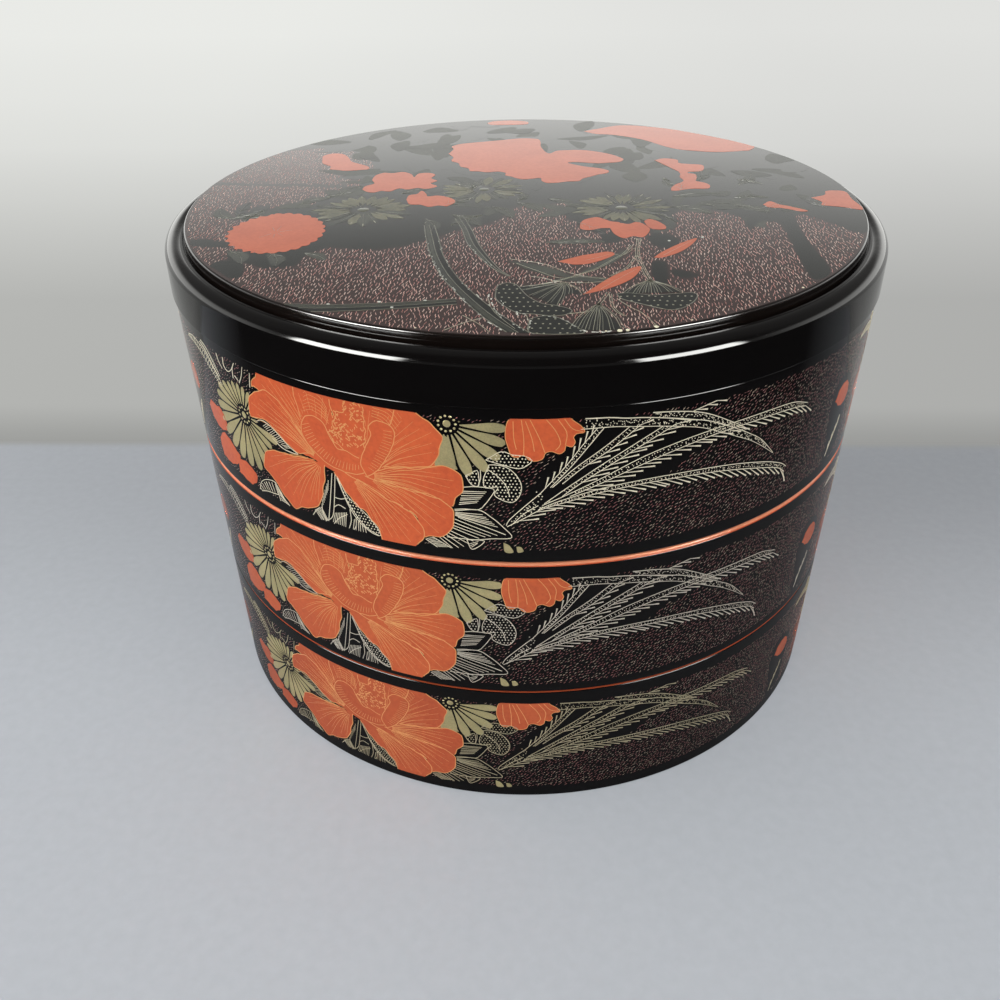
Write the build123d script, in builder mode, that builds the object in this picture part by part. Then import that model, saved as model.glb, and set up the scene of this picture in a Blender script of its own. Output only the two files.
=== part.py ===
from build123d import *
from math import sqrt
import os

# A round three-tier lacquered stacking box with a flat lid, 226 mm across and 158 mm high.
# All sizes are millimetres. The origin is the middle of the face that stands on the table,
# and +Z points up through the lid. Every piece is a turned or bent ring, or a turned board.

# The stack leans out a little from the table to the lid, in one straight line.
base_radius = 107.7  # outside of the lowest wall, at the table
seam_radius = 112.2  # outside of the stack, where the lid meets it

# Height of each tier's wall, and how far the piece above it stands off that wall's rim.
# The hand-fitted rings leave a different gap at each joint, where their red lacquer shows.
lower_wall_height = 45.9
middle_wall_height = 47.0
upper_wall_height = 47.0
lower_seat_gap = 0.5
middle_seat_gap = 1.3
upper_seat_gap = 0.25

# A wall is a skirt that slips over the ring below, its running clearance, and a ring's width.
skirt_thickness = 2.0
fit_clearance = 0.3
ring_thickness = 2.3
wall_thickness = skirt_thickness + fit_clearance + ring_thickness
glue_gap = 0.1  # between a glued board or ring and the wall round it
edge_round = 0.4  # every worn outer edge

# Under each floor a shallow recess takes the ring of the tier below.
recess_depth = 4.0
floor_thickness = 4.0
ring_seat_depth = 5.0  # how deep a ring is let into its own wall
ring_round = 0.6  # lead-in on a ring's upper edges

# The lid is a shallow hoop with a half-round shoulder, and a flat board let into it from above.
lid_height = 16.2  # from the hoop's lower edge to the top of the board
lid_overhang = 0.7  # how far the hoop stands out past the tier below it
shoulder_width = 5.7  # from the hoop's side in to the groove round the board
shoulder_round = 3.6
shoulder_inner_round = 0.3
groove_width = 0.4
groove_depth = 0.7
board_rise = 2.6  # how far the board stands above the shoulder's crest
board_thickness = 5.0
board_edge_round = 0.35
board_step_drop = 2.25  # from the board's face down to the fine step round its edge
board_step_width = 0.2
ledge_width = 1.3
ledge_thickness = 2.0

tiers = [
    ("lower_tier", lower_wall_height, lower_seat_gap),
    ("middle_tier", middle_wall_height, middle_seat_gap),
    ("upper_tier", upper_wall_height, upper_seat_gap),
]
stack_height = sum(wall_height + seat_gap for name, wall_height, seat_gap in tiers)


def outer_radius(height):
    """Outside of the stack at a height above the table."""
    return base_radius + (seam_radius - base_radius) * height / stack_height


def inner_radius(height):
    """Inside face of the walls at a height above the table."""
    return outer_radius(height) - wall_thickness


def skirt_bore(bottom):
    """Bore of the skirt of a tier or lid whose lower edge is at this height."""
    return outer_radius(bottom) - skirt_thickness


os.makedirs("parts", exist_ok=True)

bottom = 0
for tier_name, wall_height, seat_gap in tiers:
    rim = bottom + wall_height
    floor_bottom = bottom + recess_depth
    floor_top = floor_bottom + floor_thickness
    next_bottom = rim + seat_gap
    ring_bottom = rim - ring_seat_depth
    ring_top = next_bottom + recess_depth
    ring_outer = skirt_bore(next_bottom) - fit_clearance
    ring_inner = inner_radius(ring_bottom)

    # The wall: a hoop, rebated inside its rim for the ring and inside its foot for the floor.
    with BuildPart() as wall:
        with BuildSketch(Plane.XZ) as wall_section:
            with BuildLine():
                Polyline(
                    (outer_radius(bottom), bottom),
                    (outer_radius(rim), rim),
                    (ring_outer + glue_gap, rim),
                    (ring_outer + glue_gap, ring_bottom),
                    (ring_inner, ring_bottom),
                    (inner_radius(floor_top), floor_top),
                    (skirt_bore(bottom), floor_top),
                    (skirt_bore(bottom), bottom),
                    close=True,
                )
            make_face()
            foot_corner = wall_section.vertices().group_by(Axis.Y)[0].sort_by(Axis.X)[-1]
            rim_corner = wall_section.vertices().group_by(Axis.Y)[-1].sort_by(Axis.X)[-1]
            fillet([foot_corner, rim_corner], edge_round)
        revolve(axis=Axis.Z)
    wall.part.label = f"{tier_name}_wall"
    export_step(wall.part, f"parts/{wall.part.label}.step")

    # The floor: a board pushed up into the foot rebate and glued against its step.
    with BuildPart() as floor:
        with BuildSketch(Plane.XY.offset(floor_bottom)):
            Circle(skirt_bore(bottom) - glue_gap)
        extrude(amount=floor_thickness)
    floor.part.label = f"{tier_name}_floor"
    export_step(floor.part, f"parts/{floor.part.label}.step")

    # The locating ring: glued in the rim, it stands up into the recess of the piece above.
    with BuildPart() as ring:
        with BuildSketch(Plane.XZ) as ring_section:
            with BuildLine():
                Polyline(
                    (ring_inner, ring_bottom),
                    (ring_outer, ring_bottom),
                    (ring_outer, ring_top),
                    (ring_inner, ring_top),
                    close=True,
                )
            make_face()
            fillet(ring_section.vertices().group_by(Axis.Y)[-1], ring_round)
        revolve(axis=Axis.Z)
    ring.part.label = f"{tier_name}_locating_ring"
    export_step(ring.part, f"parts/{ring.part.label}.step")

    bottom = next_bottom

# The lid stands on the upper ring, with its skirt over it. Its shoulder is one arc, from the
# hoop's side over the crest and a little way down again to the groove.
lid_bottom = bottom
lid_top = lid_bottom + lid_height
lid_step = lid_bottom + recess_depth
lid_radius = seam_radius + lid_overhang
groove_outer = lid_radius - shoulder_width
shoulder_top = lid_top - board_rise
crest_radius = lid_radius - shoulder_round
side_top = shoulder_top - shoulder_round
shoulder_inner_top = side_top + sqrt(shoulder_round**2 - (crest_radius - groove_outer) ** 2)
groove_bottom = shoulder_inner_top - groove_depth
board_bottom = lid_top - board_thickness
ledge_bottom = board_bottom - ledge_thickness
board_seat_radius = groove_outer - groove_width
board_step_radius = board_seat_radius - glue_gap
board_radius = board_step_radius - board_step_width
ledge_radius = board_seat_radius - ledge_width

# The lid's hoop: side band, half-round shoulder, groove, and an inner ledge that carries the board.
with BuildPart() as lid_hoop:
    with BuildSketch(Plane.XZ) as hoop_section:
        with BuildLine():
            ThreePointArc(
                (lid_radius, side_top),
                (crest_radius, shoulder_top),
                (groove_outer, shoulder_inner_top),
            )
            Polyline(
                (groove_outer, shoulder_inner_top),
                (groove_outer, groove_bottom),
                (board_seat_radius, groove_bottom),
                (board_seat_radius, board_bottom),
                (ledge_radius, board_bottom),
                (ledge_radius, ledge_bottom),
                (inner_radius(lid_bottom), ledge_bottom),
                (inner_radius(lid_bottom), lid_step),
                (skirt_bore(lid_bottom), lid_step),
                (skirt_bore(lid_bottom), lid_bottom),
                (lid_radius, lid_bottom),
                (lid_radius, side_top),
            )
        make_face()
        fillet(hoop_section.vertices().group_by(Axis.Y)[0].sort_by(Axis.X)[-1], edge_round)
        fillet(hoop_section.vertices().group_by(Axis.Y)[-1], shoulder_inner_round)
    revolve(axis=Axis.Z)
lid_hoop.part.label = "lid_hoop"
export_step(lid_hoop.part, "parts/lid_hoop.step")

# The lid's top board: its rounded edge stands clear above the groove, with a fine step below.
with BuildPart() as lid_board:
    with BuildSketch(Plane.XZ) as board_section:
        with BuildLine():
            Polyline(
                (0, board_bottom),
                (board_step_radius, board_bottom),
                (board_step_radius, lid_top - board_step_drop),
                (board_radius, lid_top - board_step_drop),
                (board_radius, lid_top),
                (0, lid_top),
                close=True,
            )
        make_face()
        fillet(board_section.vertices().group_by(Axis.Y)[-1].sort_by(Axis.X)[-1], board_edge_round)
    revolve(axis=Axis.Z)
lid_board.part.label = "lid_top_board"
export_step(lid_board.part, "parts/lid_top_board.step")
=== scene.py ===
import math
import random

import bpy
from mathutils import Matrix, Vector
from mathutils.geometry import delaunay_2d_cdt


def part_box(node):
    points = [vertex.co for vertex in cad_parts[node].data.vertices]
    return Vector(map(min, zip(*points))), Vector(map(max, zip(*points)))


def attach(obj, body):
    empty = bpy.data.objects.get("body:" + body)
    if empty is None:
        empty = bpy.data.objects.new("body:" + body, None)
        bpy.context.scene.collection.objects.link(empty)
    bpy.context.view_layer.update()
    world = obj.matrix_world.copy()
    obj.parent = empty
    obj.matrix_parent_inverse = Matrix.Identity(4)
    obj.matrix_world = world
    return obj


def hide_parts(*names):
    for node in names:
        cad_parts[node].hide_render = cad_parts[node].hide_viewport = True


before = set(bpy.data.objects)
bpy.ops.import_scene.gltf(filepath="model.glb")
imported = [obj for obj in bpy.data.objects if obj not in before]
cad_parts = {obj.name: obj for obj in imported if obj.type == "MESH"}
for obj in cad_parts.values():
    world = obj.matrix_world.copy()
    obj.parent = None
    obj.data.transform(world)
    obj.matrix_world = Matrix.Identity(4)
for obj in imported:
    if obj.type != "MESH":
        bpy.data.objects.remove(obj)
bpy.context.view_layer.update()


# The camera stands a forearm's length in front of the box and looks down on it by a third of a
# right angle, as the photograph does, from a little above the height of the lid.
camera_place = Vector((0, -0.33108, 0.25953))
camera_turn = math.radians(1.506)
camera_tilt = math.radians(56.69)
camera_roll = math.radians(-0.586)
camera_lens, camera_sensor = 37.14, 36  # millimetres
camera_nearest = 0.01
camera = bpy.data.objects.new("camera", bpy.data.cameras.new("camera"))
camera.data.lens = camera_lens
camera.data.sensor_width = camera_sensor
camera.data.clip_start = camera_nearest
camera.matrix_world = (
    Matrix.Translation(camera_place)
    @ Matrix.Rotation(camera_turn, 4, "Z")
    @ Matrix.Rotation(camera_tilt, 4, "X")
    @ Matrix.Rotation(camera_roll, 4, "Z")
)
bpy.context.scene.collection.objects.link(camera)
bpy.context.scene.camera = camera
bpy.context.scene.view_settings.view_transform = "Standard"


# The table is a pale blue-grey cloth that ends behind the box in front of an off-white wall. One large
# sheet stands for both: past the wall's foot it glows with the wall's tone, with the wall's light and shade
# painted in.
floor_reach = 3.0
wall_foot = 0.113
wall_foot_blur = 0.004
cloth_colour = (0.435, 0.457, 0.49)
cloth_roughness = 0.9
weave_scale = 260
weave_dark, weave_light = 0.94, 1.05  # the threads' tones as shares of the cloth's colour
# Painted light on the wall: dim at its foot and brighter higher up, and a little darker towards the right.
wall_left_light_tint = (1.01, 1.02, 0.985)
wall_right_shade_tint = (0.92, 0.925, 0.90)
wall_fall_half_width = 0.35
wall_tone_from, wall_tone_to = 0.11, 1.31
wall_painted_light_levels = ((0.0, 0.33), (0.012, 0.36), (0.037, 0.45), (0.16, 0.46), (0.235, 0.53), (0.336, 0.62),
              (0.475, 0.72), (0.64, 0.765), (1.0, 0.81))  # share of the way up, brightness
# Painted shade: the cloth's colour darkens towards the wall's foot, most on the right, where the box's soft
# shadow falls.
painted_shade_from, painted_shade_to = -0.09, 0.10  # the cloth darkens towards the wall's foot
unshaded_left, unshaded_right = 1.0, 0.95
painted_shade_left, painted_shade_right = 0.82, 0.57
mirror_dark_from, mirror_dark_to = 0.20, 0.38  # the lacquer mirrors the far cloth as a dark room
mirror_near, mirror_far = 0.6, 0.95
mirror_wall_from, mirror_wall_to = 0.11, -0.05
even_light = 1.16  # what the camera sees of the cloth is half its even tone
even_share = 0.5


def add(tree, kind, inputs=None, **settings):
    """Adds a node with these properties; an input takes a plain value or another node's socket."""
    node = tree.nodes.new(kind)
    for name, value in settings.items():
        setattr(node, name, value)
    for name, value in (inputs or {}).items():
        if isinstance(name, int):
            socket = node.inputs[name]
        else:
            socket = next(s for s in node.inputs if s.name == name and s.enabled)
        if isinstance(value, bpy.types.NodeSocket):
            tree.links.new(value, socket)
        else:
            socket.default_value = value
    return node


def calc(tree, operation, *values):
    """One step of arithmetic inside a tree."""
    return add(tree, "ShaderNodeMath", dict(enumerate(values)), operation=operation).outputs[0]


def ranged(tree, value, low, high, to_low=0.0, to_high=1.0, soft=False):
    """A value carried from one range into another and held at the ends, with soft ends if asked."""
    return add(tree, "ShaderNodeMapRange", {
        "Value": value, "From Min": low, "From Max": high, "To Min": to_low, "To Max": to_high,
    }, interpolation_type="SMOOTHSTEP" if soft else "LINEAR").outputs["Result"]


def split(tree, vector):
    """The X, Y and Z of a vector."""
    return add(tree, "ShaderNodeSeparateXYZ", {"Vector": vector}).outputs


def own_place(tree):
    """Where a point of a surface lies in its object's own coordinates."""
    return add(tree, "ShaderNodeTexCoord").outputs["Object"]


def noise(tree, place, scale, detail):
    """An even noise about the middle of 0 to 1."""
    return add(tree, "ShaderNodeTexNoise", {
        "Vector": place, "Scale": scale, "Detail": detail}).outputs["Fac"]


def mixed(tree, share, first, last, blend="MIX"):
    """Two colours mixed in a share."""
    return add(tree, "ShaderNodeMix", {"Factor": share, "A": first, "B": last},
               data_type="RGBA", blend_type=blend).outputs[2]


def mixed_shaders(tree, share, first, last):
    """Two shaders mixed in a share."""
    return add(tree, "ShaderNodeMixShader", {0: share, 1: first, 2: last}).outputs[0]


def new_material(name, colour, roughness, **extras):
    """A material with plain values on its shader; extras name further sockets of the shader."""
    material = bpy.data.materials.new(name)
    material.use_nodes = True
    shader = material.node_tree.nodes["Principled BSDF"]
    shader.inputs["Base Color"].default_value = (*colour, 1)
    shader.inputs["Roughness"].default_value = roughness
    for socket, value in extras.items():
        shader.inputs[socket.replace("_", " ")].default_value = value
    return material


def new_piece(name, points, faces, edges=()):
    """A mesh object from plain lists."""
    mesh = bpy.data.meshes.new(name)
    mesh.from_pydata(points, list(edges), faces)
    piece = bpy.data.objects.new(name, mesh)
    bpy.context.scene.collection.objects.link(piece)
    return piece


table = new_piece("table", [
    (x * floor_reach, y * floor_reach, 0) for x, y in ((-1, -1), (1, -1), (1, 1), (-1, 1))
], [(0, 1, 2, 3)])
cloth = new_material("table_cloth", cloth_colour, cloth_roughness)
tree = cloth.node_tree
place = own_place(tree)
axes = split(tree, place)
path = add(tree, "ShaderNodeLightPath").outputs
across = ranged(tree, axes["X"], -wall_fall_half_width, wall_fall_half_width)
side_light_tint = mixed(tree, across, (*wall_left_light_tint, 1), (*wall_right_shade_tint, 1))
up_the_wall = ranged(tree, axes["Y"], wall_tone_from, wall_tone_to)
ramp = add(tree, "ShaderNodeValToRGB", {"Fac": up_the_wall})
for place_up, level in wall_painted_light_levels[1:-1]:
    ramp.color_ramp.elements.new(place_up)
for element, (place_up, level) in zip(ramp.color_ramp.elements, wall_painted_light_levels):
    element.position = place_up
    element.color = (level, level, level, 1)
wall_painted_light_tone = mixed(tree, 1.0, side_light_tint, ramp.outputs["Color"], "MULTIPLY")
wall_seen = calc(tree, "MAXIMUM", path["Is Camera Ray"], path["Is Glossy Ray"])
wall_light = add(tree, "ShaderNodeEmission", {"Color": wall_painted_light_tone}).outputs[0]
wall_matte = add(tree, "ShaderNodeBsdfDiffuse", {"Color": wall_painted_light_tone}).outputs[0]
wall_look = mixed_shaders(tree, wall_seen, wall_matte, wall_light)
weave_colour = mixed(tree, noise(tree, place, weave_scale, 3), (*[c * weave_dark for c in cloth_colour], 1),
                     (*[c * weave_light for c in cloth_colour], 1))
# Painted shade in the cloth's colour: darker towards the wall's foot and towards the right.
unshaded = ranged(tree, across, 0.0, 1.0, unshaded_left, unshaded_right)
painted_shade_far = ranged(tree, across, 0.0, 1.0, painted_shade_left, painted_shade_right)
painted_shade = ranged(tree, axes["Y"], painted_shade_from, painted_shade_to, unshaded, painted_shade_far, soft=True)
painted_shade_grey = add(tree, "ShaderNodeCombineColor", {"Red": painted_shade, "Green": painted_shade, "Blue": painted_shade}).outputs[0]
cloth_tone_with_painted_shade = mixed(tree, 1.0, weave_colour, painted_shade_grey, "MULTIPLY")
cloth_shader = tree.nodes["Principled BSDF"]
tree.links.new(cloth_tone_with_painted_shade, cloth_shader.inputs["Base Color"])
even_cloth = add(tree, "ShaderNodeEmission", {"Color": cloth_tone_with_painted_shade, "Strength": even_light}).outputs[0]
evened = calc(tree, "MULTIPLY", path["Is Camera Ray"], even_share)
cloth_look = mixed_shaders(tree, evened, cloth_shader.outputs[0], even_cloth)
behind = ranged(tree, axes["Y"], wall_foot - wall_foot_blur, wall_foot + wall_foot_blur, soft=True)
cloth_or_wall = mixed_shaders(tree, behind, cloth_look, wall_look)
away = add(tree, "ShaderNodeVectorMath", {0: place}, operation="LENGTH").outputs["Value"]
darkened = ranged(tree, away, mirror_dark_from, mirror_dark_to, mirror_near, mirror_far, soft=True)
on_cloth = ranged(tree, axes["Y"], mirror_wall_from, mirror_wall_to)
shade_share = calc(tree, "MULTIPLY", calc(tree, "MULTIPLY", darkened, on_cloth), path["Is Glossy Ray"])
shade = add(tree, "ShaderNodeBsdfDiffuse", {"Color": (0, 0, 0, 1)}).outputs[0]
shaded = mixed_shaders(tree, shade_share, cloth_or_wall, shade)
tree.links.new(shaded, tree.nodes["Material Output"].inputs["Surface"])
table.data.materials.append(cloth)

# Plain soft light: the pale room itself and four wide lamps. What the lacquer mirrors is painted into the
# room for reflections only: brightest low down and falling off towards the ceiling, dark in front of the
# box, with two low windows in front, one on each side, that show in the lacquer but light nothing. The
# lamps don't show in it.
room_tone = (0.80, 0.80, 0.775, 1)
room_light = 0.66
mirrored_low, mirrored_high = 2.6, 0.30
mirror_from, mirror_to = 0.18, 0.355
mirror_front = 0.12  # the room in front of the box is dark
front_from, front_to = -0.45, 0.15
reflected_windows = ((-0.93, 0.30, 62.0), (0.87, 0.28, 52.0))  # heading from the front, half width, strength
window_low, window_high, window_blur = 0.02, 0.42, 0.03
lamps = (  # name, place, length, width, power
    ("left_lamp", (-0.86, -0.10, 0.94), 0.9, 0.6, 4.4),
    ("right_lamp", (0.86, -0.06, 0.94), 0.9, 0.6, 1.6),
    ("front_lamp", (-0.25, -1.0, 0.8), 0.9, 0.6, 5.0),
    ("top_lamp", (-0.15, 0.05, 1.5), 1.0, 1.0, 4.5),
)
lamp_aim = Vector((0, 0, 0.12))
world = bpy.data.worlds.new("room")
bpy.context.scene.world = world
world.use_nodes = True
tree = world.node_tree
path = add(tree, "ShaderNodeLightPath").outputs
heading = split(tree, own_place(tree))
mirrored = ranged(tree, heading["Z"], mirror_from, mirror_to, mirrored_low, mirrored_high, soft=True)
behind_box = ranged(tree, heading["Y"], front_from, front_to, mirror_front, 1.0, soft=True)
mirrored = calc(tree, "MULTIPLY", mirrored, behind_box)
heading_round = calc(tree, "ARCTAN2", heading["X"], calc(tree, "MULTIPLY", heading["Y"], -1.0))
over_sill = ranged(tree, heading["Z"], window_low - window_blur, window_low + window_blur)
under_top = ranged(tree, heading["Z"], window_high + window_blur, window_high - window_blur)
for window_heading, half_width, window_strength in reflected_windows:
    off_middle = calc(tree, "ABSOLUTE", calc(tree, "SUBTRACT", heading_round, window_heading))
    within = ranged(tree, off_middle, half_width + window_blur, half_width - window_blur)
    pane = calc(tree, "MULTIPLY", calc(tree, "MULTIPLY", over_sill, under_top), within)
    mirrored = calc(tree, "MULTIPLY_ADD", pane, window_strength, mirrored)
strength = add(tree, "ShaderNodeMix", {
    "Factor": path["Is Glossy Ray"], "A": room_light, "B": mirrored}).outputs[0]
strength = add(tree, "ShaderNodeMix", {"Factor": path["Is Camera Ray"], "A": strength, "B": 1.0}).outputs[0]
background = tree.nodes["Background"]
background.inputs["Color"].default_value = room_tone
tree.links.new(strength, background.inputs["Strength"])
for lamp_name, lamp_place, lamp_length, lamp_width, lamp_power in lamps:
    light = bpy.data.lights.new(lamp_name, "AREA")
    light.shape = "RECTANGLE"
    light.size = lamp_length
    light.size_y = lamp_width
    light.energy = lamp_power
    lamp = bpy.data.objects.new(lamp_name, light)
    lamp.location = lamp_place
    lamp.rotation_euler = (lamp_aim - Vector(lamp_place)).to_track_quat("-Z", "Y").to_euler()
    lamp.visible_glossy = False
    bpy.context.scene.collection.objects.link(lamp)


# The tiers' walls are hoops of thin wood, bent round and lapped, then turned true and lacquered
# black outside and vermilion inside. Each leans out a little, so the stack widens to the lid.
MM = 0.001
glue_gap = 0.1 * MM
edge_round = 0.4 * MM
ring_round = 0.6 * MM
wall_thickness = 4.6 * MM
foot_radius = 107.7 * MM
seam_radius = 112.2 * MM
seam_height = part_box("lid_hoop")[0].z
steps_around = 256
round_steps = 6
round_support = 1.25  # how far a point stands beside each rounding, as a share of the rounding's reach
smooth_below = math.radians(35)


def outer_radius(height):
    """Outside of the stack at a height above the table."""
    return foot_radius + (seam_radius - foot_radius) * height / seam_height


def new_tree(name, **sizes):
    """An empty Geometry Nodes tree with a mesh in, a mesh out and a named input for each size."""
    made = bpy.data.node_groups.new(name, "GeometryNodeTree")
    made.interface.new_socket("Geometry", in_out="INPUT", socket_type="NodeSocketGeometry")
    made.interface.new_socket("Geometry", in_out="OUTPUT", socket_type="NodeSocketGeometry")
    for label, kind in sizes.items():
        made.interface.new_socket(label, in_out="INPUT", socket_type="NodeSocket" + kind)
    return made, made.nodes.new("NodeGroupInput").outputs, made.nodes.new("NodeGroupOutput").inputs


def run_tree(tree, piece, name, **sizes):
    """Runs a tree on a piece and returns what it makes as a plain mesh under a new name."""
    modifier = piece.modifiers.new(tree.name, "NODES")
    modifier.node_group = tree
    for item in tree.interface.items_tree:
        if item.in_out == "INPUT" and item.name in sizes:
            modifier[item.identifier] = sizes[item.name]
    bpy.context.view_layer.update()
    graph = bpy.context.evaluated_depsgraph_get()
    mesh = bpy.data.meshes.new_from_object(piece.evaluated_get(graph), depsgraph=graph)
    piece.modifiers.remove(modifier)
    used = {face.material_index for face in mesh.polygons}
    for slot in reversed(range(len(mesh.materials))):
        if slot not in used:
            mesh.materials.pop(index=slot)
    made = bpy.data.objects.new(name, mesh)
    bpy.context.scene.collection.objects.link(made)
    return made


def smooth(piece):
    """Soft shading, except across edges as sharp as a step."""
    piece.data.shade_smooth()
    piece.data.set_sharp_from_angle(angle=smooth_below)


def point_place(tree):
    """Where each point of a mesh lies."""
    return add(tree, "GeometryNodeInputPosition").outputs[0]


def made_real(tree, geometry, paint):
    """The geometry with its instances made real, all in one material."""
    real = add(tree, "GeometryNodeRealizeInstances", {"Geometry": geometry}).outputs[0]
    return add(tree, "GeometryNodeSetMaterial", {"Geometry": real, "Material": paint}).outputs[0]


turned, inside, outside = new_tree(
    "turned piece", Steps="Int", Black="Material", Red="Material",
    Red_Within="Float", Red_Above="Float", Red_Below="Float", Red_Rim="Float",
)
count = add(turned, "GeometryNodeAttributeDomainSize", {"Geometry": inside["Geometry"]},
            component="MESH").outputs[0]
sheet = add(turned, "GeometryNodeMeshGrid", {
    "Size X": 1.0, "Size Y": 1.0,
    "Vertices X": calc(turned, "ADD", inside["Steps"], 1), "Vertices Y": calc(turned, "ADD", count, 1),
}).outputs["Mesh"]
here = split(turned, point_place(turned))
angle = calc(turned, "MULTIPLY", calc(turned, "ADD", here["X"], 0.5), math.tau)
row = calc(turned, "ROUND", calc(turned, "MULTIPLY", calc(turned, "ADD", here["Y"], 0.5), count))
section = split(turned, add(turned, "GeometryNodeSampleIndex", {
    "Geometry": inside["Geometry"], "Value": point_place(turned),
    "Index": calc(turned, "FLOORED_MODULO", row, count),
}, data_type="FLOAT_VECTOR").outputs[0])
turned_place = add(turned, "ShaderNodeCombineXYZ", {
    "X": calc(turned, "MULTIPLY", section["X"], calc(turned, "COSINE", angle)),
    "Y": calc(turned, "MULTIPLY", section["X"], calc(turned, "SINE", angle)),
    "Z": section["Z"],
}).outputs[0]
moved = add(turned, "GeometryNodeSetPosition", {"Geometry": sheet, "Position": turned_place}).outputs[0]
closed = add(turned, "GeometryNodeMergeByDistance", {"Geometry": moved, "Distance": 1e-6}).outputs[0]
face = split(turned, point_place(turned))
squares = [calc(turned, "MULTIPLY", face[axis], face[axis]) for axis in "XY"]
from_axis = calc(turned, "SQRT", calc(turned, "ADD", *squares))
within = calc(turned, "LESS_THAN", from_axis, inside["Red_Within"])
above = calc(turned, "GREATER_THAN", face["Z"], inside["Red_Above"])
below = calc(turned, "LESS_THAN", face["Z"], inside["Red_Below"])
red_part = calc(turned, "MULTIPLY", within, calc(turned, "MULTIPLY", above, below))
red_part = calc(turned, "MAXIMUM", red_part, calc(turned, "GREATER_THAN", face["Z"], inside["Red_Rim"]))
red_inside = add(turned, "GeometryNodeSetMaterial", {
    "Geometry": made_real(turned, closed, inside["Black"]), "Selection": red_part,
    "Material": inside["Red"],
}).outputs[0]
turned.links.new(red_inside, outside["Geometry"])


def turned_piece(name, corners, black, red, red_within=0, red_above=0, red_below=1, red_rim=1):
    """A piece turned about the upright axis. Each corner of its section is (radius, height, rounding)."""
    points = []
    for i, (radius, height, rounding) in enumerate(corners):
        corner = Vector((radius, height))
        back = (Vector(corners[i - 1][:2]) - corner).normalized()
        ahead = (Vector(corners[(i + 1) % len(corners)][:2]) - corner).normalized()
        if not rounding:
            points.append(corner)
            continue
        half_turn = back.angle(ahead) / 2
        reach = rounding / math.tan(half_turn)
        centre = corner + (back + ahead).normalized() * rounding / math.sin(half_turn)
        start, end = corner + back * reach - centre, corner + ahead * reach - centre
        points.append(corner + back * reach * round_support)
        points += [centre + start.slerp(end, k / round_steps) * rounding for k in range(round_steps + 1)]
        points.append(corner + ahead * reach * round_support)
    edges = [(i, (i + 1) % len(points)) for i in range(len(points))]
    loop = new_piece(name + "_section", [(p.x, 0, p.y) for p in points], [], edges)
    piece = run_tree(turned, loop, name, Steps=steps_around, Black=black, Red=red,
                     Red_Within=red_within, Red_Above=red_above, Red_Below=red_below, Red_Rim=red_rim)
    bpy.data.objects.remove(loop)
    smooth(piece)
    return piece


drift_scale, rub_scale, brush_scale = 45, 120, 160
rubbed_from, rubbed_to = 0.3, 0.75
best_polish, worst_polish = 0.7, 1.6  # as shares of the lacquer's roughness
brush_height = 0.05 * MM


def lacquer(name, colour, dark_share, roughness, ripple, gloss):
    """Polished lacquer: a slow drift of tone, polish that varies, and the faint ripple of brushed coats."""
    material = new_material(name, colour, roughness, IOR=1.5, Specular_IOR_Level=gloss)
    tree = material.node_tree
    shader = tree.nodes["Principled BSDF"]
    place = own_place(tree)
    drift = noise(tree, place, drift_scale, 4)
    tone = mixed(tree, drift, (*[c * dark_share for c in colour], 1), (*colour, 1))
    tree.links.new(tone, shader.inputs["Base Color"])
    rubbed = noise(tree, place, rub_scale, 5)
    polish = ranged(tree, rubbed, rubbed_from, rubbed_to, roughness * best_polish, roughness * worst_polish)
    tree.links.new(polish, shader.inputs["Roughness"])
    coats = noise(tree, place, brush_scale, 2)
    bump = add(tree, "ShaderNodeBump", {
        "Height": coats, "Strength": ripple, "Distance": brush_height}).outputs[0]
    tree.links.new(bump, shader.inputs["Normal"])
    return material


black_lacquer = lacquer("polished_black", (0.0045, 0.0038, 0.0038), 0.6, 0.07, 0.25, 0.25)
lid_lacquer = lacquer("rubbed_black", (0.009, 0.006, 0.005), 0.6, 0.13, 0.3, 0.5)
red_lacquer = lacquer("polished_vermilion", (0.66, 0.12, 0.045), 0.85, 0.16, 0.3, 0.4)
# A lighter copy of the vermilion for the rings' outsides: a painted highlight on the joint line.
highlit_rim_lacquer = lacquer("vermilion_painted_highlight", (0.95, 0.34, 0.18), 0.85, 0.25, 0.3, 0.4)
dull_lacquer = lacquer("dull_vermilion", (0.32, 0.15, 0.11), 0.85, 0.25, 0.3, 0.4)

tiers = ("lower_tier", "middle_tier", "upper_tier")
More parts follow.
